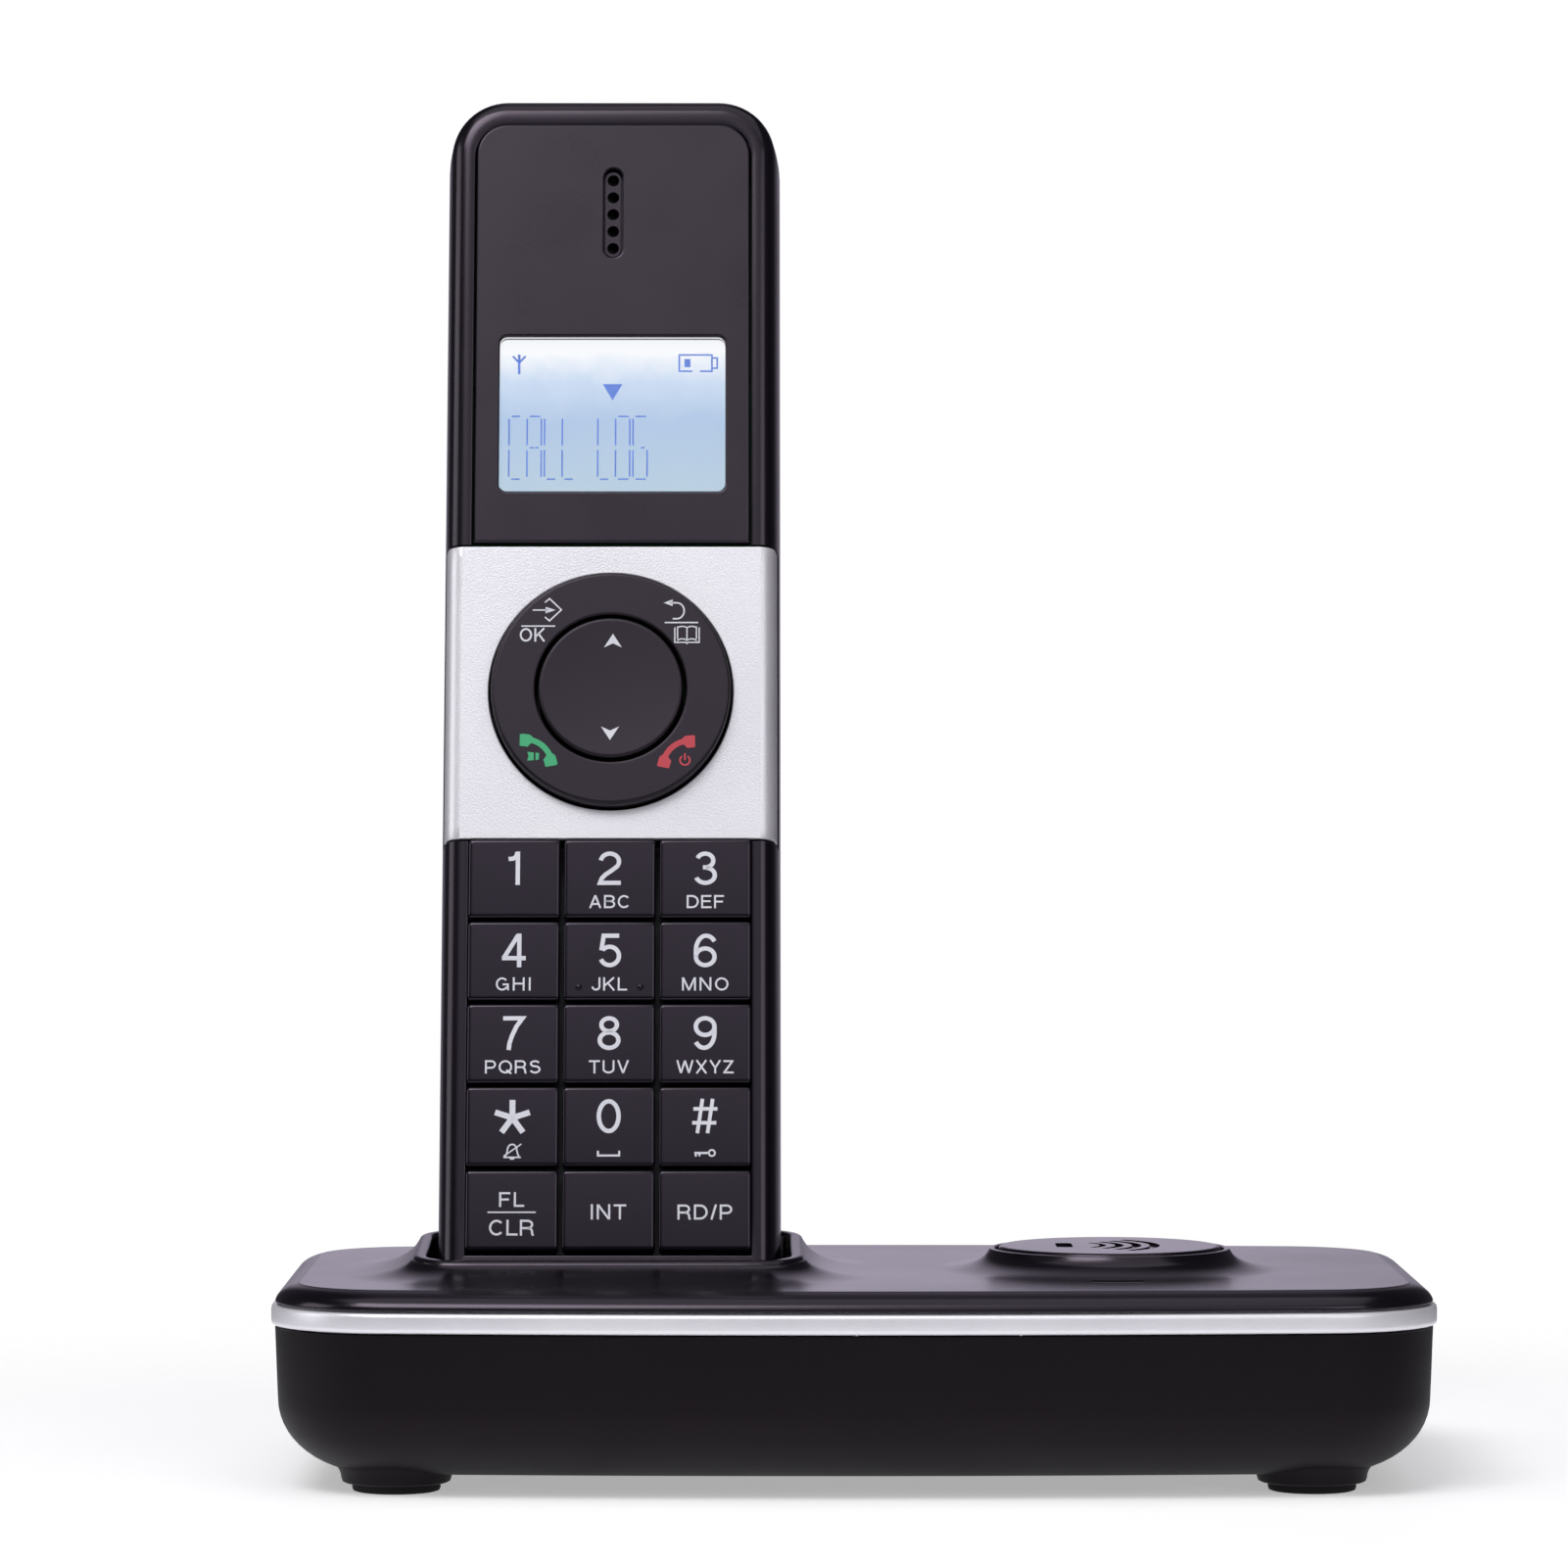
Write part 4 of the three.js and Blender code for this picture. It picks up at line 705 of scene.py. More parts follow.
EAR_Z, FACE, SLOT_FLOOR, HOLE_R = 157.7, 0.08, 0.85, 0.84


def window_ring(grow):
    """The window's outline, grown outwards."""
    return rounded(WINDOW[0] + grow, WINDOW[1] + grow, 1.1 + grow, side=16, corner=8) + (0, WINDOW[2])


def slot_ring(grow):
    """The earpiece slot's outline, grown outwards."""
    return rounded(1.05 + grow, 6.3 + grow, 1.04 + grow, side=6, corner=14) + (0, EAR_Z)


holes = [circle(0, EAR_Z + 2.52 * i, HOLE_R, 24) for i in range(-2, 3)]
shape = [
    at_depth(pane([plate_outline(0.32), slot_ring(0.55), window_ring(0.28)], 0), FACE),
    bevelled(plate_outline, [(0.32, FACE), (0.2, 0.11), (0.0, 0.34), (0.0, 1.3)]),
    bevelled(slot_ring, [(0.55, FACE), (0.4, 0.12), (0.3, 0.3), (0.28, 1.7), (0, 1.7), (0, SLOT_FLOOR)]),
    at_depth(pane([slot_ring(0)] + holes, 0), SLOT_FLOOR),
]
shape += [steps([(hole, SLOT_FLOOR), (hole, 2.4)]) for hole in holes]
shape.append(bevelled(window_ring, [(0.28, FACE), (0.16, 0.11), (0.0, 0.3), (0.0, 2.3)]))
plate = skin("face_plate_front", shape, "handset", plate_black, sharp=28)
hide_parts("face_plate")

# The lens is a clear acrylic pane; under it lies the glass cell. The cell glows by an emission of its own:
# partly its backlight, partly painted light standing in for the studio light that would reach it through
# the lens. The glow is whitest at its top edge and bluer below. Its marks are dark blue where the crystal
# turns.
acrylic, tree = blank("clear acrylic")
place = add(tree, "ShaderNodeTexCoord").outputs["Object"]
ripple = add(tree, "ShaderNodeTexNoise", {"Scale": 160.0}, {"Vector": place})
bump = add(tree, "ShaderNodeBump", {"Strength": 0.2, "Distance": 0.00001}, {"Height": ripple.outputs["Fac"]})
clear = {"Roughness": 0.02, "IOR": 1.49, "Transmission Weight": 1.0, "Base Color": linear("#FAFCFF")}
surface = add(tree, "ShaderNodeBsdfPrincipled", clear, {"Normal": bump.outputs["Normal"]})
add(tree, "ShaderNodeOutputMaterial", links={"Surface": surface.outputs["BSDF"]})


def slab(ring, near, far):
    """A closed flat solid between two depths in the handset, with its outline as (x, z)."""
    first, last = (at_depth(pane([ring], 0), depth) for depth in (near, far))
    return [first, steps([(ring, near), (ring, far)]), last]


lens = skin("lens_pane", slab(window_ring(-0.12), 0.5, 1.2), "handset", acrylic)
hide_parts("display_lens")

backlit_and_painted_glass, tree = blank("liquid crystal cell, backlit and painted light")
place = add(tree, "ShaderNodeTexCoord").outputs["Object"]
high = add(tree, "ShaderNodeSeparateXYZ", links={"Vector": place}).outputs["Z"]
mottle = add(tree, "ShaderNodeTexNoise", {"Scale": 260.0, "Detail": 2.0}, {"Vector": place})
wander = add(tree, "ShaderNodeMath", {1: 0.0035}, {0: mottle.outputs["Fac"]}, operation="MULTIPLY")
level = add(tree, "ShaderNodeMath", links={0: high, 1: wander.outputs[0]}, operation="ADD")
low_z, high_z = (float(leaning([0, 2.5, WINDOW[2] + k * WINDOW[1]])[2]) / 1000 for k in (-1, 1))
span = {"From Min": low_z, "From Max": high_z}
share = add(tree, "ShaderNodeMapRange", span, {"Value": level.outputs[0]}).outputs["Result"]
glow_ramp = add(tree, "ShaderNodeValToRGB", links={"Fac": share})
stops = [(0.0, "#B9D0DC"), (0.55, "#AFC7E4"), (0.8, "#CCDDF2"), (1.0, "#FFFFFF")]
for position, _ in stops[1:-1]:
    glow_ramp.color_ramp.elements.new(position)
for stop, (position, colour) in zip(glow_ramp.color_ramp.elements, stops):
    stop.position, stop.color = position, linear(colour)
# The emission is partly the backlight and partly painted light for the lamp light that the lens holds back.
glass = {"Roughness": 0.25, "Base Color": linear("#20262E"), "Emission Strength": 0.95}
surface = add(tree, "ShaderNodeBsdfPrincipled", glass, {"Emission Color": glow_ramp.outputs["Color"]})
add(tree, "ShaderNodeOutputMaterial", links={"Surface": surface.outputs["BSDF"]})
cell = skin("lcd_cell", slab(window_ring(0.5), 2.5, 4.2), "handset", backlit_and_painted_glass)
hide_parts("lcd_panel")


def stroke(points, width, closed=False):
    """A stroke of one width along points: both edges stand off the path by half the width along the
    mitred normal, which is the mean of the two sides' normals over the cosine of half their turn."""
    p = np.asarray(points, float)
    if closed:
        p = np.concatenate([p[-1:], p, p[:2]])
    run = np.diff(p, axis=0)
    run /= np.linalg.norm(run, axis=1)[:, None]
    side = pairs(-run[:, 1], run[:, 0])
    before, after = np.concatenate([side[:1], side]), np.concatenate([side, side[-1:]])
    mitre = (before + after) / np.maximum(1 + np.sum(before * after, 1), 0.4)[:, None]
    grid = np.stack([p + mitre * width / 2, p - mitre * width / 2])
    return grid[:, 1:-1] if closed else grid


def strokes(width, *paths):
    """Open strokes of one width, each along its own path."""
    return [stroke(path, width) for path in paths]


def bow(x, z, rx, rz, start, end, count=20):
    """Points of an elliptical arc about (x, z) from one angle to another, in degrees."""
    t = np.radians(np.linspace(start, end, count))
    return pairs(x + rx * np.cos(t), z + rz * np.sin(t))


def print_flat(shapes, lift_off):
    """Printed marks as patches: each shape is a 2 x n grid of (x, z), or an outline to fill. lift_off
    gives the depth in the handset at (x, z)."""
    made = []
    for shape in shapes:
        if shape.ndim == 3:
            points, faces = sheet(np.concatenate([shape, np.zeros((*shape.shape[:2], 1))], -1))
        else:
            points, faces = pane([shape], 0)
        made.append((leaning(upright(points, lift_off(*points[:, :2].T))), faces))
    return made


def sixteen(x, z, wide, tall, parts, line):
    """One character of the display as thin bars: a top, b and c right, d foot, e and f left, g middle."""
    g, h = 0.35, tall / 2
    bars = {
        "a": [(x + g, z + tall), (x + wide - g / 2, z + tall)],
        "b": [(x + wide, z + h + g), (x + wide, z + tall - g)],
        "c": [(x + wide, z + g), (x + wide, z + h - g)],
        "d": [(x + g, z), (x + wide - g / 2, z)],
        "e": [(x, z + g), (x, z + h - g)],
        "f": [(x, z + h + g), (x, z + tall - g)],
        "g": [(x + g, z + h), (x + wide / 2 - 0.1, z + h)],
        "h": [(x + wide / 2 + 0.1, z + h), (x + wide - g, z + h)],
    }
    return [stroke(bars[p], line) for p in parts]


# The marks glow blue by an emission of their own, as the cell does: partly the backlight, partly painted
# light.
lit = {"Emission Strength": 0.4, "Emission Color": linear("#5A86EC")}
crystal = moulded("turned liquid crystal, backlit and painted light", ("#4C78D8", "#5B86E2"), (0.3, 0.35), 0.5, 0.0001, **lit)
left, top_z = -WINDOW[0], WINDOW[2] + WINDOW[1]
marks = []
for at, wide, parts in (
    (1.35, 1.72, "afed"), (3.9, 2.0, "abcefgh"), (6.35, 1.7, "fed"), (8.85, 1.7, "fed"),
    (13.85, 1.7, "fed"), (16.35, 2.0, "abcdef"), (18.8, 2.0, "afedch"),
):
    marks += sixteen(left + at, top_z - 20.4, wide, 9.2, parts, 0.22)
mast = np.array([left + 2.7, top_z])
marks += strokes(0.36, mast + [(0, -5.0), (0, -2.1)])
marks += strokes(0.3, mast + [(-0.9, -2.35), (0, -3.3)], mast + [(0.9, -2.35), (0, -3.3)])
marks.append(np.array([(14.5, -6.45), (17.3, -6.45), (15.9, -8.85)]) + (left, top_z))
charge = np.array([left + 25.3, top_z - 4.55])
marks += strokes(
    0.24,
    charge + [(1.85, 0), (0, 0), (0, 2.4), (4.6, 2.4), (4.6, 0), (2.9, 0)],
    charge + [(4.6, 1.95), (5.35, 1.95), (5.35, 0.45), (4.6, 0.45)],
)
marks += strokes(0.85, charge + [(1.15, 0.6), (1.15, 1.8)])
signs = skin("lcd_marks", print_flat(marks, lambda x, z: np.full_like(x, 2.47)), "handset", crystal)

# ------------------------------------------------------------------ dial
# A four-way ring and an up and down rocker inside it, moulded in ABS with a fine texture, with pad-printed
# signs. The ring has a narrow chamfer outside, and a flange behind that keeps it under the band.
dial_black = moulded(
    "fine-textured black ABS", ("#121014", "#151317"), (0.4, 0.45), 0.3, 0.006, cloud=12.0, **VIOLET
)
RING_TOP, ROCKER_TOP = -2.1, -2.3


def dial(profile, count=144):
    """A profile of (radius, depth) turned about the dial's axis, in the handset's frame."""
    grid = turned(profile, count=count)
    return sheet(leaning(np.stack([grid[..., 0], grid[..., 2], grid[..., 1] + DIAL_Z], -1)))


ring_profile = [
    (10.54, 4.8), (10.54, -1.8), (10.58, -1.96), (10.7, -2.07), (10.86, RING_TOP), (10.95, RING_TOP),
    (16.1, RING_TOP), (16.2, RING_TOP), (16.42, -2.03), (16.58, -1.88), (16.65, -1.65), (16.65, 4.0),
    (18.1, 4.0), (18.1, 4.8), (10.54, 4.8),
]
ring = skin("nav_ring_cap", [dial(ring_profile)], "nav_ring", dial_black)
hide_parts("nav_ring")
DISH, DISH_R = 0.22, 9.6


def dished(r):
    """Depth of the rocker's dished top at a radius: a parabola down to the dish's edge."""
    return ROCKER_TOP + DISH * (1 - np.minimum(r / DISH_R, 1) ** 2)


rocker_profile = [(r, dished(r)) for r in np.append(np.linspace(0, 9.5, 14), DISH_R)]
rocker_profile += [(9.8, -2.26), (9.93, -2.16), (10.0, -2.02), (10.03, -1.85), (10.03, 4.6)]
rocker_profile += [(3, 4.6), (3, 6.4), (0, 6.4)]
rocker = skin("nav_rocker_cap", [dial(rocker_profile)], "nav_rocker", dial_black)
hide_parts("nav_rocker")

# Pad-printed ink: a thin even film with a faint orange peel.
ink_white, ink_green, ink_red = (
    moulded(colour + " pad-printed ink", codes, (0.42, 0.5), 0.3, 0.002)
    for colour, codes in (
        ("white", ("#E8E8F4", "#EFEFF9")), ("green", ("#3DB47A", "#46BC82")), ("red", ("#CC3F4E", "#D54855"))
    )
)


def bars(*paths, closed=False):
    """Strokes, each from a list of points, with whether they close on themselves."""
    return [(np.array(path, float), closed) for path in paths]


def lobe(x0, x1, z0, z1):
    """A bowl on a stem: out along a bar to x0, half an ellipse that reaches x1, and back along a bar."""
    half_round = bow(x0, (z0 + z1) / 2, x1 - x0, (z1 - z0) / 2, 90, -90, 16)
    return bars(np.vstack([(HALF, z1), half_round, (HALF, z0)]))


# Each capital has its width and its strokes, in units of the cap height. HALF is half a stroke's width
# and ROOF the height of an upper bar.
HALF, ROOF = 0.072, 0.928
STEM = bars([(HALF, 0), (HALF, 1)])
FAR_STEM = bars([(0.81, 0), (0.81, 1)])
ROUND = bars(bow(0.5, 0.5, 0.43, 0.5 - HALF, 0, 360, 41)[:-1], closed=True)
UPPER_S, LOWER_S = bow(0.42, 0.735, 0.31, 0.192, 22, 270, 18), bow(0.42, 0.308, 0.345, 0.235, 90, -158, 20)
CAPITALS = {
    "A": (0.92, bars([(0.07, 0), (0.46, 0.98)], [(0.85, 0), (0.46, 0.98)], [(0.2, 0.32), (0.72, 0.32)])),
    "B": (0.84, STEM + lobe(0.45, 0.73, 0.53, ROOF) + lobe(0.47, 0.77, HALF, 0.53)),
    "C": (0.94, bars(bow(0.47, 0.5, 0.4, 0.5 - HALF, 42, 318, 30))),
    "D": (0.9, STEM + lobe(0.4, 0.83, HALF, ROOF)),
    "E": (0.78, STEM + bars(*([(HALF, z), (x, z)] for x, z in ((0.76, ROOF), (0.7, 0.53), (0.78, HALF))))),
    "F": (0.74, STEM + bars([(HALF, ROOF), (0.74, ROOF)], [(HALF, 0.5), (0.66, 0.5)])),
    "G": (0.98, bars(bow(0.47, 0.5, 0.4, 0.5 - HALF, 42, 330, 32), [(0.5, 0.47), (0.9, 0.47), (0.9, 0.02)])),
    "H": (0.88, STEM + FAR_STEM + bars([(HALF, 0.53), (0.8, 0.53)])),
    "I": (0.2, bars([(0.1, 0), (0.1, 1)])),
    "J": (0.66, bars(np.vstack([(0.59, 1.0), bow(0.33, 0.3, 0.26, 0.3 - HALF, 0, -180, 16)]))),
    "K": (0.88, STEM + bars([(0.8, 0.99), (0.1, 0.36)], [(0.34, 0.58), (0.82, 0.01)])),
    "L": (0.7, STEM + bars([(HALF, HALF), (0.7, HALF)])),
    "M": (1.04, STEM + bars(*([(x, z), (u, v)] for x, z, u, v in (
        (0.97, 0, 0.97, 1), (0.09, 0.98, 0.52, 0.03), (0.52, 0.03, 0.95, 0.98)
    )))),
    "N": (0.88, STEM + FAR_STEM + bars([(0.09, 0.97), (0.79, 0.03)])),
    "O": (1.0, ROUND),
    "P": (0.82, STEM + lobe(0.46, 0.75, 0.43, ROOF)),
    "Q": (1.0, ROUND + bars([(0.58, 0.27), (0.94, -0.02)])),
    "R": (0.88, STEM + lobe(0.48, 0.76, 0.47, ROOF)
          + bars([(0.5, 0.47), (0.68, 0.42), (0.75, 0.3), (0.77, 0.12), (0.83, 0)])),
    "S": (0.84, bars(np.vstack([UPPER_S, LOWER_S[1:]]))),
    "T": (0.82, bars([(0, ROOF), (0.82, ROOF)], [(0.41, 0), (0.41, 0.93)])),
    "U": (0.88, bars(np.vstack(
        [(HALF, 1.0), bow(0.44, 0.34, 0.37, 0.34 - HALF, 180, 360, 18), (0.81, 1.0)]
    ))),
    "V": (0.88, bars([(0.07, 1), (0.44, 0.03)], [(0.44, 0.03), (0.81, 1)])),
    "W": (1.28, bars(*([(x, z), (u, v)] for x, z, u, v in (
        (0.07, 1, 0.34, 0.03), (0.34, 0.03, 0.64, 0.97), (0.64, 0.97, 0.94, 0.03), (0.94, 0.03, 1.21, 1)
    )))),
    "X": (0.88, bars([(0.08, 1), (0.8, 0)], [(0.8, 1), (0.08, 0)])),
    "Y": (0.88, bars([(0.07, 1), (0.44, 0.42)], [(0.81, 1), (0.44, 0.42)], [(0.44, 0.44), (0.44, 0)])),
    "Z": (0.8, bars([(0.03, ROOF), (0.77, ROOF)], [(0.7, 0.93), (0.09, 0.07)], [(0.02, HALF), (0.79, HALF)])),
    "/": (0.4, bars([(0.05, 0), (0.35, 1)])),
}


def lettering(text, tall, wide, x, z, narrow=1.0):
    """Plain capitals of a cap height, drawn as strokes of one width and spaced out to a whole width,
    centred on (x, z). narrow draws each letter in."""
    own = narrow * sum(CAPITALS[letter][0] for letter in text)
    space = (wide / tall - own) / (len(text) - 1)
    made, left = [], -wide / tall / 2
    for letter in text:
        width, paths = CAPITALS[letter]
        for path, closed in paths:
            placed = (path * (narrow, 1) + (left, -0.5)) * tall + (x, z)
            made.append(stroke(placed, 1.9 * HALF * tall, closed))
        left += narrow * width + space
    return made


def printed(name, shapes, body, ink, lift_off):
    """One printed legend: strokes and filled shapes laid on a surface in one film."""
    piece = skin(name, print_flat(shapes, lift_off), body, ink)
    return piece


FILM = 0.03


def on_ring(x, z):
    """Depth of a film of ink on the ring's flat top."""
    return np.full_like(x, RING_TOP - FILM)


def on_rocker(x, z):
    """Depth of a film of ink on the rocker's dished top."""
    return dished(np.hypot(x, z - DIAL_Z)) - FILM


nw, ne, sw, se = (
    np.array([x, DIAL_Z + z]) for x, z in ((-9.3, 9.2), (9.7, 9.0), (-10.1, -9.1), (9.7, -9.65))
)
enter = strokes(
    0.2,
    nw + [(-1.6, 1.95), (0.6, 1.95)],
    nw + [(0.1, 3.05), (0.75, 3.6), (2.4, 1.98), (0.75, 0.4), (0.1, 0.95)],
    nw + [(-3.15, -0.36), (1.55, -0.36)],
)
enter.append(nw + np.array([(0.2, 2.42), (1.6, 1.95), (0.2, 1.48)]))
hook = np.vstack([(-1.5, 3.2), bow(-0.5, 2.05, 1.0, 1.15, 90, -90, 16), (-1.1, 0.9)])
back_arrow = strokes(0.22, ne + hook)
back_arrow.append(ne + np.array([(-1.1, 3.68), (-1.1, 2.72), (-2.35, 3.2)]))
back_arrow += strokes(0.2, ne + [(-2.2, 0.35), (2.45, 0.35)])
cover = [(-0.8, -0.35), (-0.8, -2.5), (0.75, -2.5), (0.9, -2.68), (1.05, -2.5), (2.6, -2.5), (2.6, -0.35)]
leaves = [[(x, top), (x, top - 1.8)] for x, top in ((-0.42, -0.2), (0.9, -0.5), (2.22, -0.2))]
leaves += [bow(x, height, 0.66, 0.3, 176, 4, 12) for height in (-0.5, -2.3) for x in (0.24, 1.56)]
back_arrow += strokes(0.18, *(ne + path for path in [cover, *leaves]))


def receiver(centre, turn):
    """A curved telephone receiver: a bowed grip whose width swells into two capsules at its ends."""
    t = np.linspace(-1, 1, 41)
    swell = np.clip((np.abs(t) - 0.52) / 0.12, 0, 1)
    path = pairs(3.0 * t, 1.25 * (1 - t**2))
    half = (0.4 + 0.3 * swell) * np.where(np.abs(t) > 0.97, 0.85, 1)
    run = np.gradient(path, axis=0)
    side = pairs(-run[:, 1], run[:, 0]) / np.linalg.norm(run, axis=1)[:, None]
    grid = np.stack([path + side * half[:, None], path - side * (half + 0.35 * swell)[:, None]])
    c, s = math.cos(turn), math.sin(turn)
    return grid @ np.array([[c, s], [-s, c]]) + centre


call = [
    receiver(sw + (-0.15, -0.15), math.radians(-40)),
    sw + np.array([(-1.4, -0.1), (-0.5, -0.2), (-0.5, -1.3), (-1.4, -1.35), (-1.2, -0.7)]),
    sw + np.array([(-0.25, -0.2), (0.25, -0.3), (0.2, -1.2), (-0.25, -1.3)]),
]
power = se + (0.65, -0.75)
hang_up = [receiver(se + (-0.25, 0.2), math.radians(40))]
hang_up += strokes(0.24, power + bow(0, 0, 0.68, 0.68, 125, 415, 30), power + [(0, 0), (0, 1)])
agree = lettering("OK", 1.95, 3.5, nw[0] - 1.6, nw[1] - 1.62, 0.86)
printed("ring_print_white", enter + back_arrow + agree, "nav_ring", ink_white, on_ring)
printed("ring_print_green", call, "nav_ring", ink_green, on_ring)
printed("ring_print_red", hang_up, "nav_ring", ink_red, on_ring)
arrow = np.array([(0, 0.95), (1.25, -1.0), (0, -0.42), (-1.25, -1.0)])
halves = [arrow[[0, 2, 1]], arrow[[0, 3, 2]]]
arrows = [h + (0.3, DIAL_Z + 6.75) for h in halves] + [h * (1, -1) + (-0.05, DIAL_Z - 6.6) for h in halves]
printed("rocker_print", arrows, "nav_rocker", ink_white, on_rocker)

# ------------------------------------------------------------------ keypad
# Fifteen hard caps of moulded acrylic, polished, that stand a little proud of the frame with narrow gaps
# between them. Each is slightly crowned with soft edges, and rides its own dome in the silicone mat.
cap_gloss = moulded(
    "polished black acrylic", ("#0D0B12", "#121018"), (0.1, 0.14), 1.2, 0.0006, cloud=8.0, IOR=1.49, **VIOLET
)
# In mm: the keys' pitch and depths, half their size, their crown and soft edge, and the figures' stroke
# and height.
PITCH_X, PITCH_Z, LOWEST, KEY_TOP, KEY_FOOT = 13.2, 11.63, 8.5, -0.7, 3.2
KEY_A, KEY_B, CROWN, SOFT = 6.33, 5.55, 0.1, 0.42
LINE, TALL = 0.6, 4.75
H = LINE / TALL / 2
CAP_CORNER, PIP = 0.3, 0.48


def key_depth(u, v):
    """Depth of a key's crowned top at (u, v) from its middle: it falls away as the square of each."""
    return KEY_TOP + CROWN * ((u / KEY_A) ** 2 + (v / KEY_B) ** 2) / 2


def key_patches(x, z):
    """Rings from the middle of the cap to its edge, over a soft quarter round, and down to its foot."""
    a, b = KEY_A - SOFT, KEY_B - SOFT
    rings = []
    for f in (0.02, 0.25, 0.5, 0.7, 0.85, 0.95, 1.0):
        flat = rounded(a * f, b * f, CAP_CORNER * f, side=8, corner=4)
        rings.append(upright(flat, key_depth(*flat.T)))
    for turn in np.radians((20, 40, 60, 78, 90)):
        out, down = SOFT * math.sin(turn), SOFT * (1 - math.cos(turn))
        wider = rounded(a + out, b + out, CAP_CORNER + out / 2, side=8, corner=4)
        rings.append(upright(wider, key_depth(*flat.T) + down))
    rings.append(upright(wider, KEY_FOOT))
    first, last = rings[0], rings[-1]
    return [
        sheet(leaning(np.stack([ring_closed(r) for r in rings]) + (x, 0, z))),
        at_depth(pane([first[:, [0, 2]] + (x, z)], 0), first[:, 1].mean()),
        at_depth(pane([last[:, [0, 2]] + (x, z)], 0), KEY_FOOT),
    ]


def digit(kind):
    """A figure in a box one unit high about the middle of its foot, as strokes of one width: bowls are
    elliptical arcs and stems are straight."""
    small = bars(bow(0.0, 0.31, 0.27, 0.31 - H, 0, 360, 40)[:-1], closed=True)
    shapes = {
        "0": bars(bow(0, 0.5, 0.285, 0.5 - H, 0, 360, 48)[:-1], closed=True),
        "1": bars([(0.1, 0.0), (0.1, 1.0)], [(-0.17, 0.775), (-0.03, 0.79), (0.05, 0.85), (0.085, 0.97)]),
        "2": bars(np.vstack([
            bow(0, 0.7, 0.265, 0.3 - H, 172, -38, 26),
            (0.08, 0.45), (-0.12, 0.315), (-0.235, 0.2), (-0.285, H), (0.32, H),
        ])),
        "3": bars(
            bow(-0.005, 0.73, 0.235, 0.27 - H, 160, -82, 26),
            bow(0, 0.29, 0.275, 0.29 - H, 84, -162, 30),
            [(-0.07, 0.525), (0.04, 0.525)],
        ),
        "4": bars([(0.16, 1.0), (0.16, 0.0)], [(0.13, 0.96), (-0.29, 0.27)], [(-0.34, 0.27), (0.35, 0.27)]),
        "5": bars(
            [(0.28, 1 - H), (-0.17, 1 - H), (-0.235, 0.5)], bow(0.005, 0.335, 0.27, 0.335 - H, 140, -158, 34)
        ),
        "6": bars(bow(0.03, 0.5, 0.3, 0.5 - H, 38, 180, 22), [(-0.27, 0.5), (-0.27, 0.31)]) + small,
        "7": bars([(-0.29, 1 - H), (0.27, 1 - H), (0.1, 0.7), (-0.03, 0.42), (-0.1, 0.2), (-0.125, 0.0)]),
        "8": bars(
            bow(0, 0.745, 0.225, 0.255 - H, 0, 360, 40)[:-1],
            bow(0, 0.29, 0.27, 0.29 - H, 0, 360, 40)[:-1],
            closed=True,
        ),
    }
    if kind == "9":
        return [(np.array([0, 1.0]) - p, closed) for p, closed in digit("6")]
    return shapes[kind]


def figure(kind, x, z):
    """A figure of the keys' height, centred on (x, z)."""
    return [stroke((x, z - TALL / 2) + p * TALL, LINE, closed) for p, closed in digit(kind)]


def rays(x, z):
    """An asterisk of five thick rays."""
    tips = 2.5 * np.exp(1j * np.radians((90, 162, 234, 306, 18)))
    return strokes(0.8, *([(x, z), (x + tip.real, z + tip.imag)] for tip in tips))


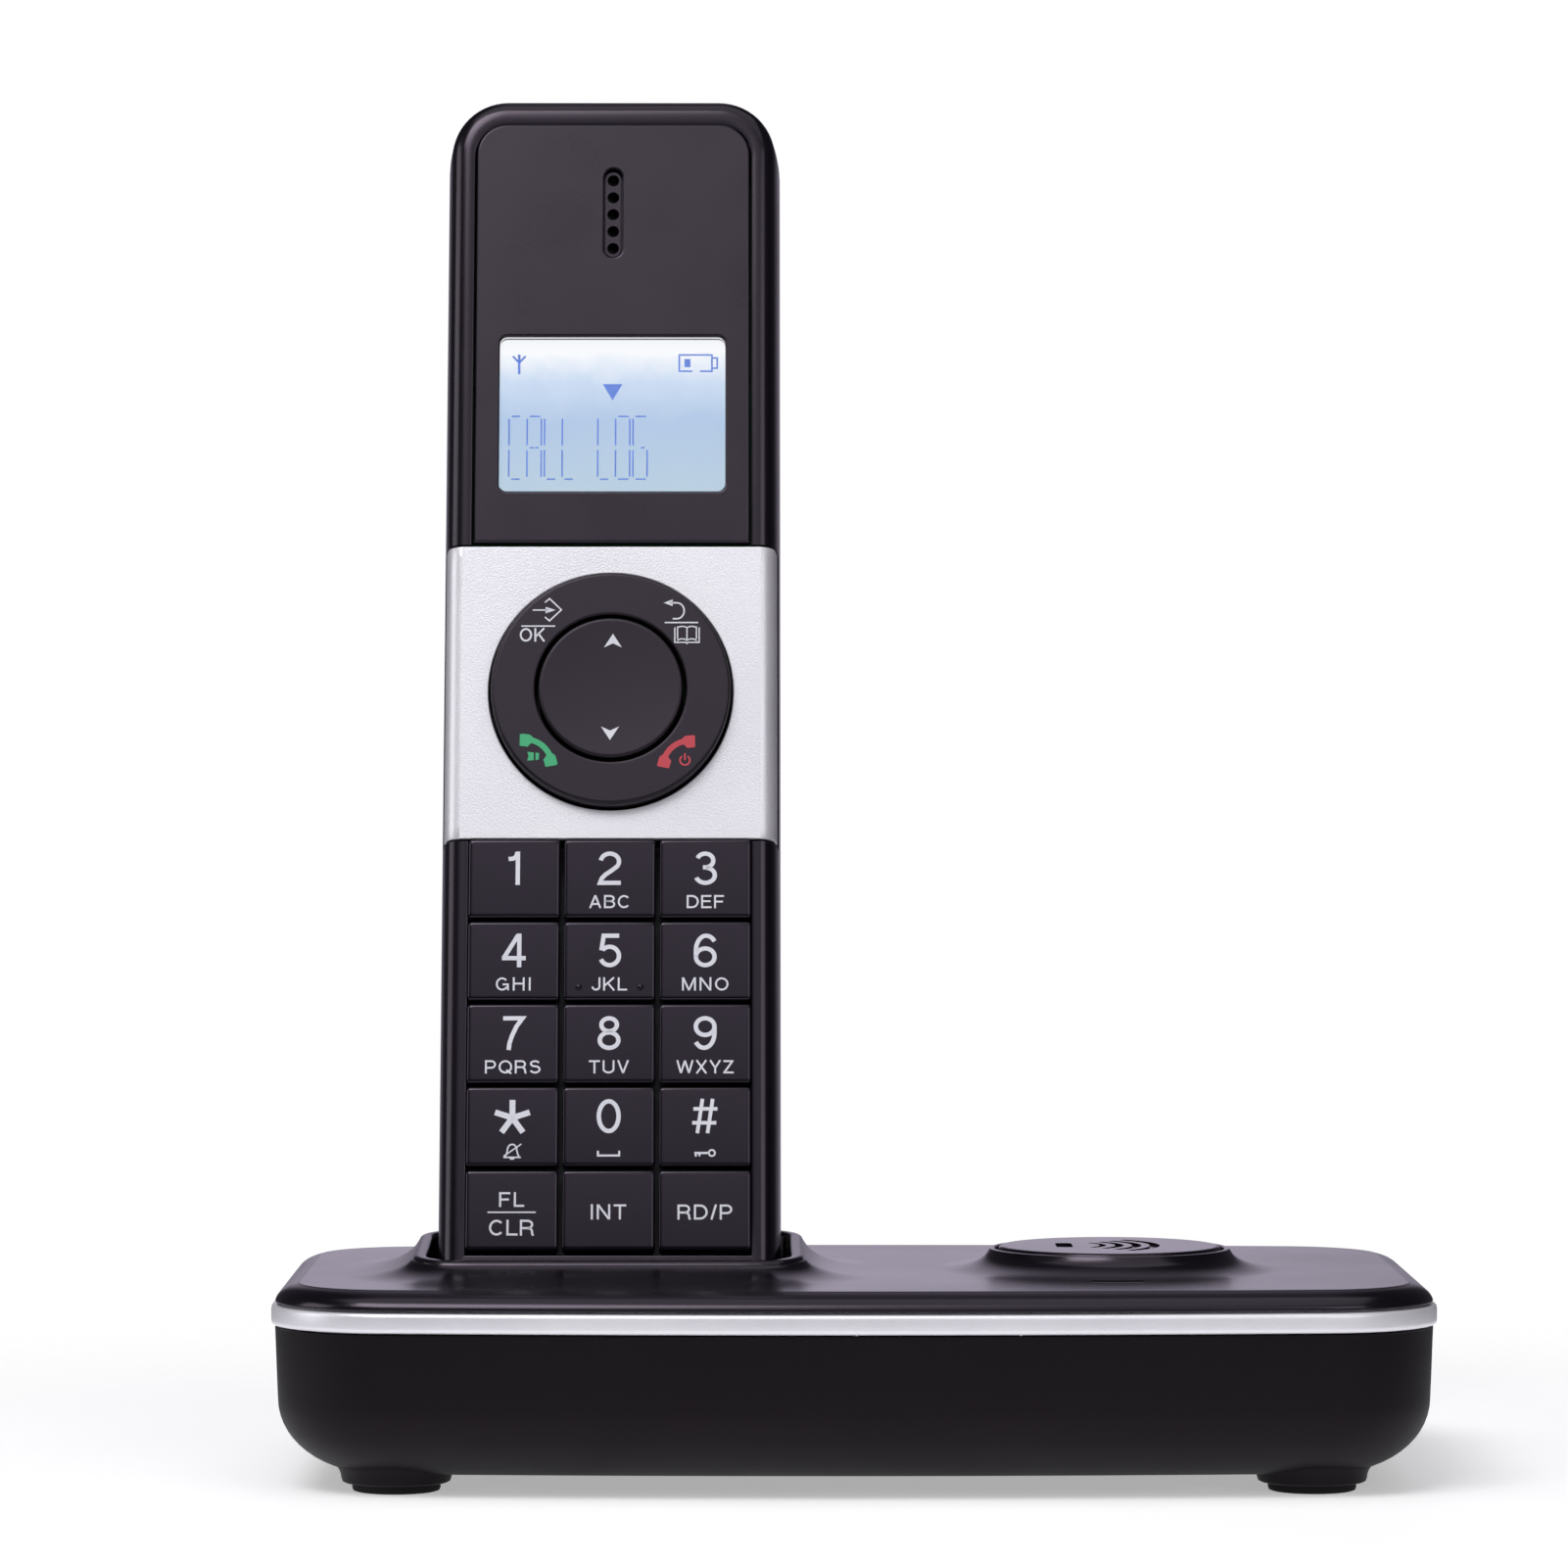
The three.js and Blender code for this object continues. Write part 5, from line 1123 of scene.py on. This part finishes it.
NAMES = [
    ("clear", "intercom", "redial"), ("star", "0", "hash"), ("7", "8", "9"), ("4", "5", "6"), ("1", "2", "3"),
]
WORDS = {
    "2": ("ABC", 5.7), "3": ("DEF", 5.15), "4": ("GHI", 4.85), "5": ("JKL", 4.9), "6": ("MNO", 6.4),
    "7": ("PQRS", 7.65), "8": ("TUV", 5.5), "9": ("WXYZ", 7.9),
}
for row, names in enumerate(NAMES):
    for column, name in enumerate(names):
        x, z = (column - 1) * PITCH_X, LOWEST + (row + 0.5) * PITCH_Z
        body = "key_" + name
        key = skin("cap_" + name, key_patches(x, z), body, cap_gloss, sharp=50)
        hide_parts(body)
        shapes = []
        if name.isdigit():
            shapes = figure(name, x, z + 1.43)
        if name in WORDS:
            text, wide = WORDS[name]
            shapes += lettering(text, 1.85, wide, x, z - 3.3)
        at = np.array([x, z])
        if name == "0":
            shapes += strokes(0.28, at + [(-1.45, -3.4), (-1.45, -4.05), (1.45, -4.05), (1.45, -3.4)])
        if name == "star":
            bell = at - (0, 4.3)
            dome = [(-0.95, 0.1), (-0.75, 0.5), bow(0, 1.1, 0.62, 0.7, 180, 0, 14), (0.75, 0.5), (0.95, 0.1)]
            shapes += rays(x, z + 1.2) + strokes(0.2, bell + [(-1.2, 0), (1.2, 0)], bell + np.vstack(dome))
            shapes += strokes(0.22, bell + [(-0.3, -0.2), (0.3, -0.2)])
            shapes += strokes(0.18, bell + [(-1.15, 0.15), (1.25, 1.85)])
        if name == "hash":
            shapes += strokes(
                0.5,
                at + [(-1.05, -0.95), (-0.35, 3.85)],
                at + [(0.35, -0.95), (1.05, 3.85)],
                at + [(-1.6, 2.45), (1.7, 2.45)],
                at + [(-1.75, 0.5), (1.55, 0.5)],
            )
            shapes.append(stroke(at + bow(0.95, -3.7, 0.42, 0.42, 0, 360, 24)[:-1], 0.24, True))
            shapes += strokes(0.3, at + [(0.5, -3.7), (-1.45, -3.7)])
            shapes += strokes(0.28, at + [(-1.25, -3.7), (-1.25, -4.2)], at + [(-0.75, -3.7), (-0.75, -4.15)])
        if name == "clear":
            shapes += lettering("FL", 2.05, 3.45, x, z + 1.47) + lettering("CLR", 2.2, 6.15, x, z - 2.43)
            shapes += strokes(0.2, at + [(-3.3, -0.3), (3.3, -0.3)])
        if name == "intercom":
            shapes += lettering("INT", 2.1, 4.9, x, z - 0.25)
        if name == "redial":
            shapes += lettering("RD/P", 2.1, 7.5, x, z - 0.28)

        def on_cap(u, v, at=at):
            """Depth of a film of ink on this key's crown."""
            return key_depth(u - at[0], v - at[1]) - 0.02

        printed("legend_" + name, shapes, body, ink_white, on_cap)
        if name == "5":
            for side, word in ((-1, "left"), (1, "right")):
                r = np.linspace(0, PIP, 7)
                pip = turned(pairs(r, -0.8 * np.sqrt(PIP**2 - r**2)), count=20)
                pip = pip + (x + side * 4.25, z - 3.7, KEY_TOP + 0.08)
                dot = skin("pip_" + word, [sheet(leaning(pip[..., [0, 2, 1]]))], body, cap_gloss)

# ------------------------------------------------------------------ parts kept as the frame has them
# Boards, cells, sockets, screws and springs keep their shapes and get their real finishes.
nickel = moulded("nickel plate", ("#B9B5AC", "#C4C0B8"), (0.2, 0.32), 0.4, 0.002, cloud=3.0, Metallic=1.0)
zinc = moulded("zinc-plated steel", ("#8C8E92", "#A0A2A6"), (0.28, 0.4), 0.3, 0.003, cloud=3.0, Metallic=1.0)
mask_green = moulded("green solder mask", ("#154D2C", "#1B5A35"), (0.3, 0.4), 0.6, 0.004, cloud=6.0)
silicone = moulded("matt silicone", ("#7F8286", "#8B8E92"), (0.6, 0.7), 0.5, 0.006, cloud=10.0)
diffuser = moulded("white light guide", ("#E4E8EE", "#EEF1F5"), (0.45, 0.55), 0.5, 0.003, cloud=10.0)
paper = moulded("black cone paper", ("#19191B", "#222225"), (0.65, 0.8), 0.35, 0.02, cloud=4.0)
wrap_green = moulded("green shrink wrap", ("#1F6B45", "#278051"), (0.25, 0.35), 1.0, 0.006, cloud=8.0)
socket_black = moulded("black nylon", ("#121213", "#18181A"), (0.42, 0.52), 0.35, 0.006, cloud=8.0)
finishes = {
    "nickel": nickel,
    "screw_steel": zinc,
    "circuit_board": mask_green,
    "silicone": silicone,
    "diffuser": diffuser,
    "speaker_black": paper,
    "microphone_can": nickel,
    "cell_wrap": wrap_green,
    "black_tub": socket_black,
}
for part in frame["record"]["subparts"]:
    node = frame["nodes"][part["node"]]
    if part["material_slot"] in finishes and node.material_slots:
        node.material_slots[0].material = finishes[part["material_slot"]]
